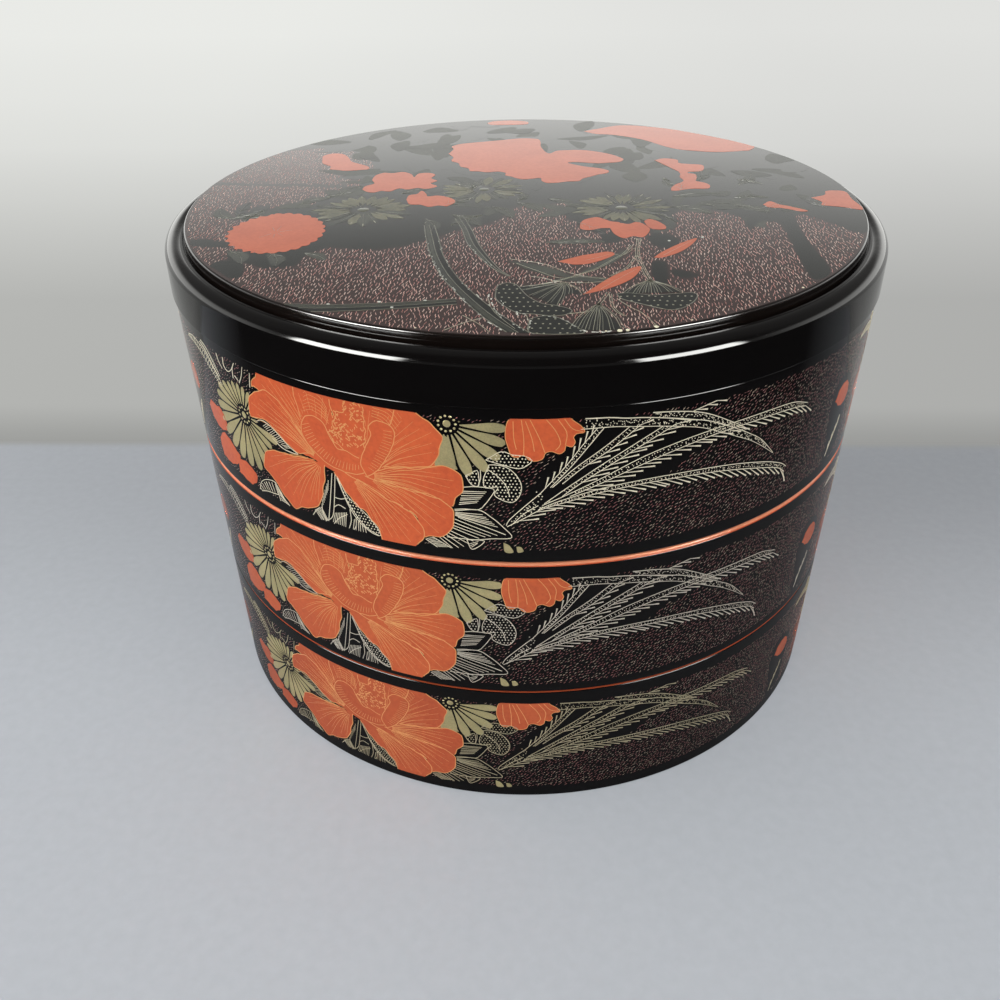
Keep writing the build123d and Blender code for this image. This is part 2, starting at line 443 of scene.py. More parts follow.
# How far the red runs down outside each rim, and how high the ring's red lip stands over it.
red_rims = {"lower_tier": 0.05 * MM, "middle_tier": 0.2 * MM, "upper_tier": -1}
ring_lips = {"lower_tier": 0, "middle_tier": 0.8 * MM, "upper_tier": 0}
lip_inset = 0.25 * MM
lip_rounding = 0.7  # as a share of the lip's height
for tier in tiers:
    wall_low, wall_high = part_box(tier + "_wall")
    floor_low, floor_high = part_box(tier + "_floor")
    ring_low, ring_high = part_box(tier + "_locating_ring")
    skirt_bore = floor_high.x + glue_gap
    ring_seat = ring_high.x + glue_gap
    ring_inner = outer_radius(ring_low.z) - wall_thickness
    wall = turned_piece(tier + "_lacquered_wall", [
        (outer_radius(wall_low.z), wall_low.z, edge_round),
        (outer_radius(wall_high.z), wall_high.z, edge_round),
        (ring_seat, wall_high.z, 0),
        (ring_seat, ring_low.z, 0),
        (ring_inner, ring_low.z, 0),
        (outer_radius(floor_high.z) - wall_thickness, floor_high.z, 0),
        (skirt_bore, floor_high.z, 0),
        (skirt_bore, wall_low.z, 0),
    ], black_lacquer, red_lacquer, ring_seat, floor_high.z, wall_high.z, wall_high.z - red_rims[tier])
    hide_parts(tier + "_wall")
    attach(wall, tier)

    # The floor is a thin round board, glued up against the wall's step, vermilion on top.
    board = turned_piece(tier + "_lacquered_floor", [
        (floor_high.x, floor_low.z, 0),
        (floor_high.x, floor_high.z, 0),
        (0, floor_high.z, 0),
        (0, floor_low.z, 0),
    ], black_lacquer, red_lacquer, floor_high.x - glue_gap, (floor_low.z + floor_high.z) / 2)
    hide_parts(tier + "_floor")
    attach(board, tier)

    # The locating ring is glued into the rim and stands up into the piece above it. Its vermilion shows as
    # the fine line at each joint; above the lower tier its outside is a lighter copy of the vermilion, a
    # painted highlight along that line.
    lip = []
    if ring_lips[tier]:
        lip_edge = outer_radius(wall_high.z) - lip_inset
        lip_top = wall_high.z + ring_lips[tier]
        lip = [(ring_high.x, wall_high.z, 0), (lip_edge, wall_high.z, 0),
               (lip_edge, lip_top, ring_lips[tier] * lip_rounding), (ring_high.x, lip_top, 0)]
    ring = turned_piece(tier + "_lacquered_ring", [
        (ring_high.x, ring_low.z, 0), *lip, (ring_high.x, ring_high.z, ring_round),
        (ring_inner, ring_high.z, ring_round), (ring_inner, ring_low.z, 0),
    ], dull_lacquer if tier == "lower_tier" else highlit_rim_lacquer, red_lacquer, ring_high.x - glue_gap)
    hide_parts(tier + "_locating_ring")
    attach(ring, tier)


# The lid is a shallow hoop with a rounded shoulder, black outside and vermilion inside, and a flat
# round board that is let into it from above and stands clear behind a narrow groove.
paint_depth = 0.08 * MM  # the painted face lies lower, so that the paint ends at the lid's height
skirt_thickness = 2.0 * MM
recess_depth = 4.0 * MM
shoulder_width = 5.7 * MM
shoulder_round = 3.6 * MM
shoulder_steps = 18
shoulder_inner_round = 0.3 * MM
groove_width = 0.4 * MM
groove_depth = 0.7 * MM
ledge_width = 1.3 * MM
ledge_thickness = 2.0 * MM
board_step_width = 0.2 * MM
board_step_drop = 2.25 * MM
board_edge_round = 0.7 * MM
hoop_low, hoop_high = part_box("lid_hoop")
lid_board_low, lid_board_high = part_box("lid_top_board")
lid_inner = outer_radius(hoop_low.z) - wall_thickness
skirt_bore = seam_radius - skirt_thickness
groove_outer = hoop_high.x - shoulder_width
board_seat = groove_outer - groove_width
board_radius = lid_board_high.x - board_step_width
lid_face = lid_board_high.z - paint_depth
crest_radius = hoop_high.x - shoulder_round
side_top = hoop_high.z - shoulder_round
shoulder_arc = math.acos((groove_outer - crest_radius) / shoulder_round)
shoulder = []
for k in range(shoulder_steps + 1):
    turn = shoulder_arc * k / shoulder_steps
    shoulder.append((crest_radius + shoulder_round * math.cos(turn),
                     side_top + shoulder_round * math.sin(turn), 0))
shoulder[-1] = (*shoulder[-1][:2], shoulder_inner_round)
groove_bottom = shoulder[-1][1] - groove_depth
hoop = turned_piece("lid_lacquered_hoop", [
    (hoop_high.x, hoop_low.z, edge_round / 2),
    *shoulder,
    (groove_outer, groove_bottom, 0),
    (board_seat, groove_bottom, 0),
    (board_seat, lid_board_low.z, 0),
    (board_seat - ledge_width, lid_board_low.z, 0),
    (board_seat - ledge_width, lid_board_low.z - ledge_thickness, 0),
    (lid_inner, lid_board_low.z - ledge_thickness, 0),
    (lid_inner, hoop_low.z + recess_depth, 0),
    (skirt_bore, hoop_low.z + recess_depth, 0),
    (skirt_bore, hoop_low.z, 0),
], black_lacquer, red_lacquer, skirt_bore + glue_gap, hoop_low.z + glue_gap, lid_board_low.z)
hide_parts("lid_hoop")
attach(hoop, "lid")
lid_board = turned_piece("lid_lacquered_board", [
    (lid_board_high.x, lid_board_low.z, 0),
    (lid_board_high.x, lid_board_high.z - board_step_drop, 0),
    (board_radius, lid_board_high.z - board_step_drop, 0),
    (board_radius, lid_face, board_edge_round),
    (0, lid_face, 0),
    (0, lid_board_low.z, 0),
], lid_lacquer, red_lacquer, lid_board_high.x, 0, lid_board_low.z + glue_gap)
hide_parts("lid_top_board")
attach(lid_board, "lid")


# The painted bands: each wall has one band of raised lacquer painting between two bare black
# strips. The same spray of peony, chrysanthemum and pampas grass is painted on it three times,
# laid on the polished ground in thin coats: dark leaves first, then gold, vermilion and fine lines.
band_height = 41.7 * MM
band_reference_radius = 110.9 * MM
band_repeats = 3
band_length = math.tau * band_reference_radius / band_repeats
paint_sink = 0.03 * MM  # every coat starts a little below the polished ground
dark_coat = 0.020 * MM
gold_coat = 0.030 * MM
red_coat = 0.036 * MM
line_coat = 0.062 * MM
coat_step = 0.002 * MM  # between petals that overlap
paint_cell = 2.4  # from here on, sizes in the drawing are in millimetres
line_step = 0.9
stripe_step = 0.3
closest_points = 0.02
fine_line = 0.20
plain_line = 0.25
edge_line = 0.34
flat_top = 0.7  # a stroke's flat top, as a share of its width
dot_top = 0.8
dot_stray = 0.15
dice = random.Random(7)


def vectors(points):
    """Plain number pairs as vectors."""
    return [Vector(p) for p in points]


def toward(turn):
    """The direction at an angle from the x axis."""
    return Vector((math.cos(turn), math.sin(turn)))


def curve(points, step=line_step):
    """A smooth open line, in millimetres, through given points."""
    points = vectors(points)
    ends = [points[0] * 2 - points[1], *points, points[-1] * 2 - points[-2]]
    line = []
    for a, b, c, d in zip(ends, ends[1:], ends[2:], ends[3:]):
        count = max(1, round((c - b).length / step))
        for k in range(count):
            u = k / count
            line.append((b * 2 + (c - a) * u + (a * 2 - b * 5 + c * 4 - d) * u * u
                         + (b * 3 - a - c * 3 + d) * u ** 3) / 2)
    return line + [points[-1]]


def closed_curve(points, step=line_step):
    """A smooth closed line, which starts and ends at the same point."""
    return curve(points + points[:1], step)


def frilled(line, depth=0.3, wave=2.6):
    """The same line with the small scallops of a petal's rim."""
    result = [line[0]]
    run = 0
    for before, here, after in zip(line, line[1:], line[2:]):
        run += (here - before).length
        along = (after - before).normalized()
        out = Vector((along.y, -along.x))
        result.append(here + out * depth * abs(math.sin(run / wave * math.pi / 2)))
    return result + [line[-1]]


def crossings(root, direction, outline):
    """How far a ray from the root runs to the outline's last crossing."""
    far = 0
    for a, b in zip(outline, outline[1:] + outline[:1]):
        side = b - a
        turn = direction.x * side.y - direction.y * side.x
        if abs(turn) < 1e-9:
            continue
        gap = a - root
        along = (gap.x * side.y - gap.y * side.x) / turn
        share = (gap.x * direction.y - gap.y * direction.x) / turn
        if along > far and 0 <= share <= 1:
            far = along
    return far


def holds(outline, point):
    """True if a point lies inside an outline."""
    odd = False
    for a, b in zip(outline, outline[1:] + outline[:1]):
        if (a.y > point.y) == (b.y > point.y):
            continue
        if point.x < (b.x - a.x) * (point.y - a.y) / (b.y - a.y) + a.x:
            odd = not odd
    return odd


class Drawing:
    """Thin closed coats of paint on flat ground; x and y are millimetres on the ground, z is height."""

    def __init__(self, limit, ground=0.0, cell=paint_cell):
        self.points = []
        self.faces = []
        self.limit = limit  # moves a point that lies outside the painted field onto its edge
        self.ground = ground
        self.cell = cell

    def put(self, place, height):
        self.points.append((place.x * MM, place.y * MM, self.ground + height))
        return len(self.points) - 1

    def fill(self, outline, coat):
        """Paint over a whole outline, in small cells where it has to follow a round wall."""
        kept = []
        for point in outline:
            point = self.limit(point)
            if not kept or (point - kept[-1]).length > closest_points:
                kept.append(point)
        low = Vector((min(p.x for p in kept), min(p.y for p in kept)))
        high = Vector((max(p.x for p in kept), max(p.y for p in kept)))
        inner = []
        rows = int((high.y - low.y) / self.cell) + 1 if self.cell else 0
        columns = int((high.x - low.x) / self.cell) + 1 if self.cell else 0
        for i in range(1, columns):
            for j in range(1, rows):
                spot = low + Vector(((i + 0.5 * (j % 2)) * self.cell, j * self.cell))
                if holds(kept, spot) and min((spot - p).length for p in kept) > self.cell / 2:
                    inner.append(spot)
        rim = [(i, (i + 1) % len(kept)) for i in range(len(kept))]
        spots, _, triangles, *_ = delaunay_2d_cdt(kept + inner, rim, [], 1, 1e-4)
        top = [self.put(p, coat) for p in spots]
        bottom = [self.put(p, -paint_sink) for p in spots]
        sides = {}
        for triangle in triangles:
            self.faces.append([top[i] for i in triangle])
            self.faces.append([bottom[i] for i in reversed(triangle)])
            for a, b in zip(triangle, triangle[1:] + triangle[:1]):
                sides[(a, b)] = sides.get((b, a)) is None
                if not sides[(a, b)]:
                    sides[(b, a)] = False
        for (a, b), open_side in sides.items():
            if open_side:
                self.faces.append([bottom[a], bottom[b], top[b], top[a]])

    def stroke(self, line, width, coat=line_coat, start=1.0, end=1.0):
        """A raised brush line; it may start or end thinner or thicker than its width."""
        runs = [[]]
        for i, point in enumerate(line):
            if (self.limit(point) - point).length < 1e-6:
                runs[-1].append((point, i / (len(line) - 1)))
            elif runs[-1]:
                runs.append([])
        for run in runs:
            if len(run) < 2:
                continue
            rings = []
            for i, (point, share) in enumerate(run):
                along = (run[min(i + 1, len(run) - 1)][0] - run[max(i - 1, 0)][0]).normalized()
                half = Vector((-along.y, along.x)) * width / 2 * (start + (end - start) * share)
                rings.append([self.put(point + half, -paint_sink), self.put(point - half, -paint_sink),
                              self.put(point - half * flat_top, coat),
                              self.put(point + half * flat_top, coat)])
            for near, far in zip(rings, rings[1:]):
                for k in range(4):
                    self.faces.append([near[k], far[k], far[(k + 1) % 4], near[(k + 1) % 4]])
            self.faces.append(rings[0])
            self.faces.append(rings[-1][::-1])

    def dot(self, place, radius, coat=line_coat, sides=6):
        """A round touch of the brush."""
        if (self.limit(place) - place).length > 1e-6:
            return
        rim = [toward(math.tau * k / sides) for k in range(sides)]
        low = [self.put(place + r * radius, -paint_sink) for r in rim]
        high = [self.put(place + r * radius * dot_top, coat) for r in rim]
        self.faces += [high, low[::-1]]
        for k in range(sides):
            self.faces.append([low[k], low[(k + 1) % sides], high[(k + 1) % sides], high[k]])

    def dotted(self, outline, gap, radius, rows=1.0):
        """Staggered rows of dots inside an outline; rows says how many gaps they stand apart."""
        xs, ys = [p.x for p in outline], [p.y for p in outline]
        for j in range(int((max(ys) - min(ys)) / gap / rows) + 1):
            for i in range(int((max(xs) - min(xs)) / gap) + 1):
                spot = Vector((min(xs) + (i + 0.5 * (j % 2)) * gap, min(ys) + j * gap * rows))
                spot += Vector((dice.uniform(-1, 1), dice.uniform(-1, 1))) * gap * dot_stray
                if holds(outline, spot):
                    self.dot(spot, radius)

    def stripes(self, first, last, count, width, shares=(0.0, 1.0)):
        """Strokes from points along one line to the matching points along another."""
        first, last = curve(first, stripe_step), curve(last, stripe_step)
        low, high = shares
        for k in range(count):
            share = (k + 0.5) / count
            a, b = first[int(share * (len(first) - 1))], last[int(share * (len(last) - 1))]
            stripe = curve([a.lerp(b, low), a.lerp(b, (low + high) / 2), a.lerp(b, high)], 1.5)
            self.stroke(stripe, width, end=0.7)


def band_limit(point):
    """Keeps paint inside the band."""
    return Vector((point.x, min(max(point.y, 0), band_height / MM)))


# One drawing for each kind of paint, and one that only marks where the ground stays bare black.
red_paint, gold_paint, line_paint, vein_paint, bare = (Drawing(band_limit) for _ in range(5))
root_gap = 2.4
vein_reaches = (0.9, 0.7, 0.82, 0.62)
vein_stray, vein_rise = 0.2, 0.06
rim_from = 0.55  # a petal's rim lies farther out than this share of its length


def veined_petal(paint, lines, outline, root, veins, order):
    """A vermilion petal with a gold scalloped rim and fine gold veins that spread from its root."""
    root = Vector(root)
    rim = frilled(curve(outline))
    paint.fill(rim, red_coat + coat_step * order)
    lines.stroke(rim, edge_line)
    far = max((p - root).length for p in rim)
    middle = sum(((p - root) for p in rim), Vector((0, 0))).normalized()
    tips = [p for p in rim if (p - root).length > far * rim_from]
    spread = [middle.angle_signed((p - root).normalized()) for p in tips]
    for k in range(veins):
        swing = min(spread) + (max(spread) - min(spread)) * (k + 0.5) / veins
        direction = Matrix.Rotation(-swing, 2) @ middle
        reach = crossings(root, direction, rim) * (vein_reaches[k % 4] + 0.06 * dice.random())
        bend = Vector((-direction.y, direction.x)) * dice.uniform(-vein_stray, vein_stray)
        bend += Vector((0, reach * vein_rise))
        start = root_gap * (1 + 0.8 * (k % 2))
        halfway = root + direction * (start + reach) / 2 + bend
        vein = [root + direction * start, halfway, root + direction * reach]
        if reach > root_gap * 2:
            lines.stroke(curve(vein, 1.8), fine_line, end=0.4)


# The peony: back petals first, each a little higher than the one behind it.
left_root = (-55.5, 21.3)
right_root = (-41.5, 20.6)
peony_petals = (
    (left_root, 16, [(-59, 24), (-67, 33), (-76, 36.6), (-78.4, 36.4), (-77.6, 39), (-75.8, 40.6),
                     (-74.5, 42.5), (-66, 43.5), (-60, 43), (-57.5, 36), (-57, 26)]),
    (left_root, 9, [(-57, 24), (-60.5, 33), (-61.5, 43), (-54, 44), (-48, 43), (-49.5, 38), (-50, 33),
                    (-53, 25)]),
    (right_root, 12, [(-46, 24), (-48, 31), (-50, 43), (-40, 44), (-30, 43), (-33, 38), (-36, 33),
                      (-40, 24)]),
    (right_root, 12, [(-40, 23), (-34.5, 31), (-33.4, 37), (-31, 42.8), (-27, 42.2), (-24, 40.2),
                      (-22, 38.6), (-20.2, 36.4), (-19.7, 34.6), (-20.6, 31.8), (-21.2, 29.2), (-22.6, 27),
                      (-25, 25.8), (-30, 25), (-36, 24)]),
    (right_root, 9, [(-40, 22), (-33, 24.6), (-26, 25.4), (-22.4, 26.8), (-19.5, 27), (-17.3, 26.3),
                     (-15.6, 24.6), (-14.9, 22.6), (-15, 20.4), (-15.8, 18.6), (-17, 17.3), (-17.6, 15.6),
                     (-18.6, 14.2), (-21, 16.2), (-25, 17.6), (-32, 18.6), (-38, 20)]),
    (right_root, 9, [(-42, 20), (-32, 18.6), (-25, 17.6), (-21, 16.4), (-18.4, 14.4), (-17.7, 12),
                     (-17.8, 9.6), (-18.6, 7.2), (-19.8, 5.4), (-22, 4.2), (-25, 3.9), (-26.8, 3.4),
                     (-27.2, 6), (-28, 9.5), (-31, 12), (-36, 14), (-40, 16)]),
    ((-46.5, 19.5), 12, [(-48, 19.5), (-42, 17.5), (-37, 14.6), (-32, 12.6), (-29, 10.6), (-27, 7.8),
                         (-26, 5), (-26.3, 3), (-27.8, 1.4), (-29.5, -1), (-34, -1.4), (-38.6, -1),
                         (-39, 1.2), (-39.6, 3.6), (-41.5, 6), (-43.2, 8.3), (-45.5, 9.3), (-47.5, 11.8),
                         (-49.7, 14.8), (-51.6, 18.6)]),
    (left_root, 12, [(-58, 22.5), (-63.5, 20.9), (-66.5, 22.3), (-70, 24.6), (-73, 26.6), (-76, 27.3),
                     (-79, 26.5), (-81.3, 26.2), (-81.8, 28.5), (-81.2, 31), (-80.3, 33.2), (-78.5, 34.6),
                     (-77.2, 35.4), (-73.5, 37.3), (-70, 36.9), (-66.5, 34.5), (-63, 30.5), (-60, 26)]),
    (left_root, 12, [(-54.5, 20), (-54.8, 16), (-56, 12), (-57, 8.2), (-58.6, 5.6), (-60.5, 3.9), (-63, 3),
                     (-65.5, 2.2), (-67.2, 1.1), (-69, 1), (-71, 2.8), (-73.4, 5), (-75, 7.4), (-77.3, 9),
                     (-79.3, 10.4), (-79, 13.2), (-77.8, 15.8), (-76.4, 17.4), (-72, 18.8), (-66, 19.5),
                     (-60, 20.6)]),
)
# Its heart: a ruffled middle full of pale stamens, between two curled petals with arched veins.
ruffle = [(-45, 25), (-50.4, 28.4), (-51.8, 31), (-50, 32.6), (-50.4, 34.8), (-48.8, 36), (-49, 38),
          (-46.6, 38.4), (-46, 41), (-45, 42.5), (-40.6, 42.5), (-40.2, 36), (-40.3, 31.6), (-41.2, 28.8)]
left_curl = [(-48, 19.6), (-53, 20.6), (-56.5, 22.8), (-59.5, 25.5), (-60.9, 28.5), (-60.4, 31.5),
             (-58.8, 33.8), (-56.5, 34.7), (-54, 34.2), (-52.4, 32.6), (-51.9, 30.8), (-50.6, 28.4),
             (-49.4, 26.6), (-46.6, 26.6), (-44.6, 25.6), (-42.4, 25), (-41.6, 22.8), (-42, 20.9),
             (-44.5, 19.8), (-48, 19.6)]
right_curl = [(-41.2, 20), (-37.7, 23.1), (-33.9, 29.4), (-32.4, 34), (-33.1, 36.6), (-36.8, 37.6),
              (-39.2, 35.6), (-38.8, 33.1), (-40.5, 29.6), (-42.7, 23.9), (-41.2, 20)]
heart_base = [(-62, 21.4), (-61, 30), (-58, 38), (-33, 38), (-24, 32), (-19, 24), (-20, 14), (-26, 10),
              (-36, 11), (-44, 14), (-50, 18.4), (-55, 19.8)]
heart = [curve(outline) for outline in (ruffle, left_curl, right_curl)]
rims = [curve(outline) for _, _, outline in peony_petals] + heart
covers = []  # the outlines laid over the petal in hand


def uncovered(point):
    """Keeps a petal's lines off whatever lies over it."""
    hidden = any(holds(outline, point) for outline in covers)
    return point + Vector((0, 99)) if hidden else band_limit(point)


vein_paint.limit = uncovered
red_paint.fill(vectors(heart_base), red_coat - coat_step)
for order, (root, veins, outline) in enumerate(peony_petals):
    covers = rims[order + 1:]
    veined_petal(red_paint, vein_paint, outline, root, veins * 4 // 3, order)
heart_frills = (0.5, 0.12, 0.12)
for order, frill in enumerate(heart_frills):
    covers = heart[order + 1:]
    rim = frilled(heart[order], frill, 1.6)
    red_paint.fill(rim, red_coat + coat_step * (order + len(peony_petals)))
    vein_paint.stroke(rim, edge_line)
stamens = heart[0]
stamen_tries = 150
covers = heart[1:]
for _ in range(stamen_tries):
    spot = Vector((dice.uniform(-51, -40), dice.uniform(28, 41.5)))
    if holds(stamens, spot):
        lean = Vector((dice.uniform(-1, 1), dice.uniform(0.2, 1))) * dice.uniform(0.35, 0.7)
        vein_paint.stroke([spot - lean, spot + lean], 0.3, end=1.4)
covers = heart[2:]
vein_paint.stripes([(-60.6, 31), (-60, 27), (-56.5, 23.4), (-52, 21), (-47, 20.2), (-43, 21.6)],
                   [(-55, 33.6), (-53.4, 31), (-51.6, 27.6), (-49, 25.8), (-46, 25.6), (-43, 24.4)], 22,
                   fine_line, (0.06, 0.5))
covers = []
vein_paint.stripes([(-32.8, 35.4), (-33, 32), (-34.6, 28.2), (-36.6, 24.8), (-39.4, 21.6)],
                   [(-36.6, 35.4), (-37.4, 32.6), (-38.9, 29.6), (-40.4, 26.4), (-41.8, 23)], 15, fine_line,
                   (0.04, 0.62))
covers = heart
for lift in (0.8, 1.8, 2.8, 3.9, 5.1, 6.4):
    arch = [(-59.5 + lift * 0.2, 34.4 + lift), (-56.5, 35.6 + lift), (-53, 34.6 + lift),
            (-51.2, 33 + lift * 0.8)]
    vein_paint.stroke(curve(arch), fine_line, start=0.5)
    arch = [(-38.4 + lift * 0.2, 38.2 + lift * 0.8), (-35.6 + lift * 0.5, 37.2 + lift * 0.8),
            (-32.6 + lift * 0.4, 33 + lift)]
    vein_paint.stroke(curve(arch), fine_line, end=0.5)
covers = []

petal_gap = 0.3
narrowest_petal = 0.1
petal_shape = (0.8, 1.0, 1.0, 0.66)  # shares of the petal's half width, from its root to its tip
middle_dots, middle_reach, middle_dot = 11, 2.0, 0.36


def daisy(centre, reaches, count, start, half_width, middle, first_turn=0.0):
    """A chrysanthemum of long narrow gold petals round a ring of dots. Reaches are (degrees, length)."""
    centre = Vector(centre)
    for k in range(count):
        turn = first_turn + 360 * k / count
        for (a, length_a), (b, length_b) in zip(reaches, reaches[1:]):
            if a <= turn % 360 <= b:
                length = length_a + (length_b - length_a) * (turn % 360 - a) / (b - a)
        if length <= start:
            continue
        along = toward(math.radians(turn))
        side = Vector((-along.y, along.x))
        third, two_thirds = start * 0.7 + length * 0.3, start * 0.3 + length * 0.7
        stations = (start, third, two_thirds, length - half_width * 0.4)
        room = [r * math.tan(math.pi / count) - petal_gap for r in stations]
        halves = [max(narrowest_petal, min(half_width, r)) * share for r, share in zip(room, petal_shape)]
        left = [centre + along * r + side * half for r, half in zip(stations, halves)]
        right = [centre + along * r - side * half for r, half in zip(stations, halves)][::-1]
        gold_paint.fill(curve(left + [centre + along * length] + right), gold_coat)
    gold_paint.dot(centre, middle, gold_coat, 12)
    for k in range(middle_dots):
        spot = centre + toward(math.tau * k / middle_dots) * (middle * middle_reach)
        gold_paint.dot(spot, middle * middle_dot, gold_coat)


left_daisy = (-85.0, 25.3)
left_reaches = ((0, 6.5), (50, 9.8), (90, 9.8), (130, 10.5), (155, 13.6), (180, 15.2), (205, 16.4),
                (240, 17.4), (275, 17.4), (300, 16.8), (318, 12.5), (335, 13), (350, 15.5), (360, 6.5))
daisy(left_daisy, left_reaches, 23, 3.4, 1.7, 1.15)
right_daisy = (-18.6, 39.4)
right_reaches = ((0, 14.6), (20, 0), (235, 0), (250, 12), (285, 15.6), (310, 16.6), (330, 15.8), (345, 15),
                 (360, 14.6))
daisy(right_daisy, right_reaches, 21, 3.2, 1.5, 1.1, -2)
gold_paint.fill(curve([(-22.4, 26.4), (-21.7, 29), (-20.8, 31.4), (-20, 34), (-19.4, 36.2), (-18.6, 35.4),
                       (-18, 31.6), (-17.2, 28.4), (-16.4, 26.2), (-18.5, 26.6)]), gold_coat - coat_step)

# The small flower that hangs from the band's upper edge, and the red buds at the spray's left end.
hanging = [(0, 42.5), (-3.4, 41.4), (-4.3, 37), (-3.6, 33.5), (-2.7, 31), (-1, 30.7), (0.2, 31.4),
           (1.4, 30), (3, 29.5), (4.9, 30.2), (5.5, 31.8), (7, 32.3), (9, 31.5), (10.3, 32.5), (10.5, 33.8),
           (12, 33.4), (12.8, 34.8), (12.3, 36), (13, 37.1), (15, 37.5), (14, 39.3), (12, 41), (11, 42.5)]
red_paint.fill(curve(hanging, 0.6), red_coat)
vein_paint.stroke(curve(hanging, 0.6), plain_line)
for line in ([(-0.4, 41.4), (0.2, 36), (0.2, 31.5)], [(1.7, 41.4), (3.9, 36.4), (5.4, 32)],
             [(5.6, 41.4), (8, 38), (9.2, 34.4), (8, 32.6)], [(8.4, 41.4), (10.6, 37.6), (10.4, 34)],
             [(10, 41.4), (12, 38.6), (14.6, 37.6)], [(-2.4, 41), (-2.2, 36), (-1.6, 33)],
             [(0.6, 41), (2.2, 36), (2.8, 32.4)]):
    vein_paint.stroke(curve(line), plain_line)
red_buds = (
    [(-109.4, 19), (-107, 21.4), (-103.4, 21.2), (-100, 21.6), (-97.4, 19), (-97.6, 15.4), (-100.4, 13.6),
     (-104, 13.4), (-108, 15.6)],
    [(-105.4, 3), (-106, 8), (-104, 11), (-101, 13), (-97, 12), (-94.5, 10), (-92.5, 9), (-93, 6), (-96, 4),
     (-100, 2.5)],
    [(-95, 2), (-94.5, 5), (-92.5, 7.5), (-89, 8.3), (-86, 7), (-84.3, 6), (-84.5, 3.5), (-86.5, 1.5),
     (-89, 0.6)],
    [(103.4, 22.4), (105, 25.6), (108, 26.8), (111.4, 26.2), (113.6, 23.6), (113.8, 20.4), (111, 18.6),
     (107, 19.4)],
)
bud_step, bud_wave = 0.6, 1.6
for order, outline in enumerate(red_buds):
    rim = frilled(closed_curve(outline, bud_step), wave=bud_wave)
    red_paint.fill(rim, red_coat - coat_step * (order + 2))
shadow = [(104, 2), (103.4, 8), (101.6, 16), (101.4, 24), (105, 29), (110, 29), (113.8, 25), (113.6, 14),
          (113, 4)]
bare.fill(closed_curve(shadow), dark_coat)

# Leaves drawn in pale gold line on bare black: dotted and curled, striped, and small ones at the foot.
leaf_dot = 0.24
dotted_leaves = (
    ([(-8.8, 27), (-8.4, 28.2), (-5, 28), (-2.5, 26.4), (-0.7, 23.6), (-0.3, 21), (-1, 18.6), (-2.5, 17),
      (-5, 17.5), (-7.2, 19.2), (-6.2, 21.6), (-9.4, 21.2), (-9.9, 23.6), (-9.4, 25.4)], 0.95),
    ([(-9.2, 29.6), (-5, 28.3), (-1, 27.3), (1, 28.2), (2.3, 29.7), (0.6, 31), (-2.6, 31.4), (-5.4, 32.2)],
     0.95),
    ([(-14.4, 24.6), (-13, 22), (-11.2, 21.6), (-11, 24), (-11.4, 26.4), (-13, 25.4)], 0.95),
    ([(-50.8, 17.6), (-48, 11.4), (-46, 10.5), (-44.5, 8.7), (-42, 6.4), (-40, 3.8), (-39.2, 1.2),
      (-42, 1.6), (-45.6, 4.4), (-48.6, 9.6)], 0.9),
)
for outline, gap in dotted_leaves:
    rim = closed_curve(outline)
    bare.fill(rim, dark_coat)
    line_paint.stroke(rim, plain_line)
    line_paint.dotted(rim, gap, leaf_dot)
line_paint.stroke(curve([(-8.7, 26.8), (-6, 24.6), (-4, 21.6), (-3.3, 18.7)]), plain_line)
line_paint.stroke(curve([(-10.6, 26.6), (-10.6, 24), (-11.3, 21.6)]), plain_line)
striped_leaves = (
    [(-15, 21), (-12, 21.4), (-7.3, 20.9), (-8.2, 18.3), (-9.8, 15.8), (-11.3, 14.3), (-15, 14.2),
     (-17.6, 13.8)],
    [(-17.6, 13.4), (-11.5, 14.2), (-8, 12), (-5, 9), (-2.8, 5.7), (-8, 5.1), (-12, 4.5), (-15.5, 4.5),
     (-20, 4.6)],
    [(-14.7, 4.3), (-13.3, 1.2), (-10, 4.2), (-14.7, 4.3)],
)
for outline in striped_leaves:
    rim = curve(outline)
    bare.fill(rim, dark_coat)
    line_paint.stroke(rim, plain_line)
line_paint.stripes([(-16, 20), (-17, 14.8)], [(-9, 20.2), (-12, 16)], 7, plain_line, (0.1, 1.0))
line_paint.stripes([(-17.4, 12.9), (-17.6, 11.6)], [(-10.5, 13), (-6, 8.6)], 6, plain_line)
line_paint.stripes([(-17.6, 11), (-18.2, 8.6), (-20.2, 5.4), (-22.5, 3.8)],
                   [(-6, 6.4), (-11.4, 5), (-15.8, 1.8), (-19.5, 0.9)], 9, plain_line)
line_paint.stroke(curve([(-16.8, 11.4), (-10, 9), (-4.4, 6.6)]), plain_line)
line_paint.stripes([(-14.2, 3.2), (-13.4, 1.6)], [(-11.6, 4), (-12, 3)], 3, fine_line)
for bud in ([(-5, 3.9), (-3.4, 3), (-2.4, 0.8), (-4.6, 0.9)],
            [(-1.6, 2.7), (-0.4, 2.6), (0.3, 1.2), (-1.2, 0.8)]):
    gold_paint.fill(closed_curve(bud, 0.5), gold_coat)

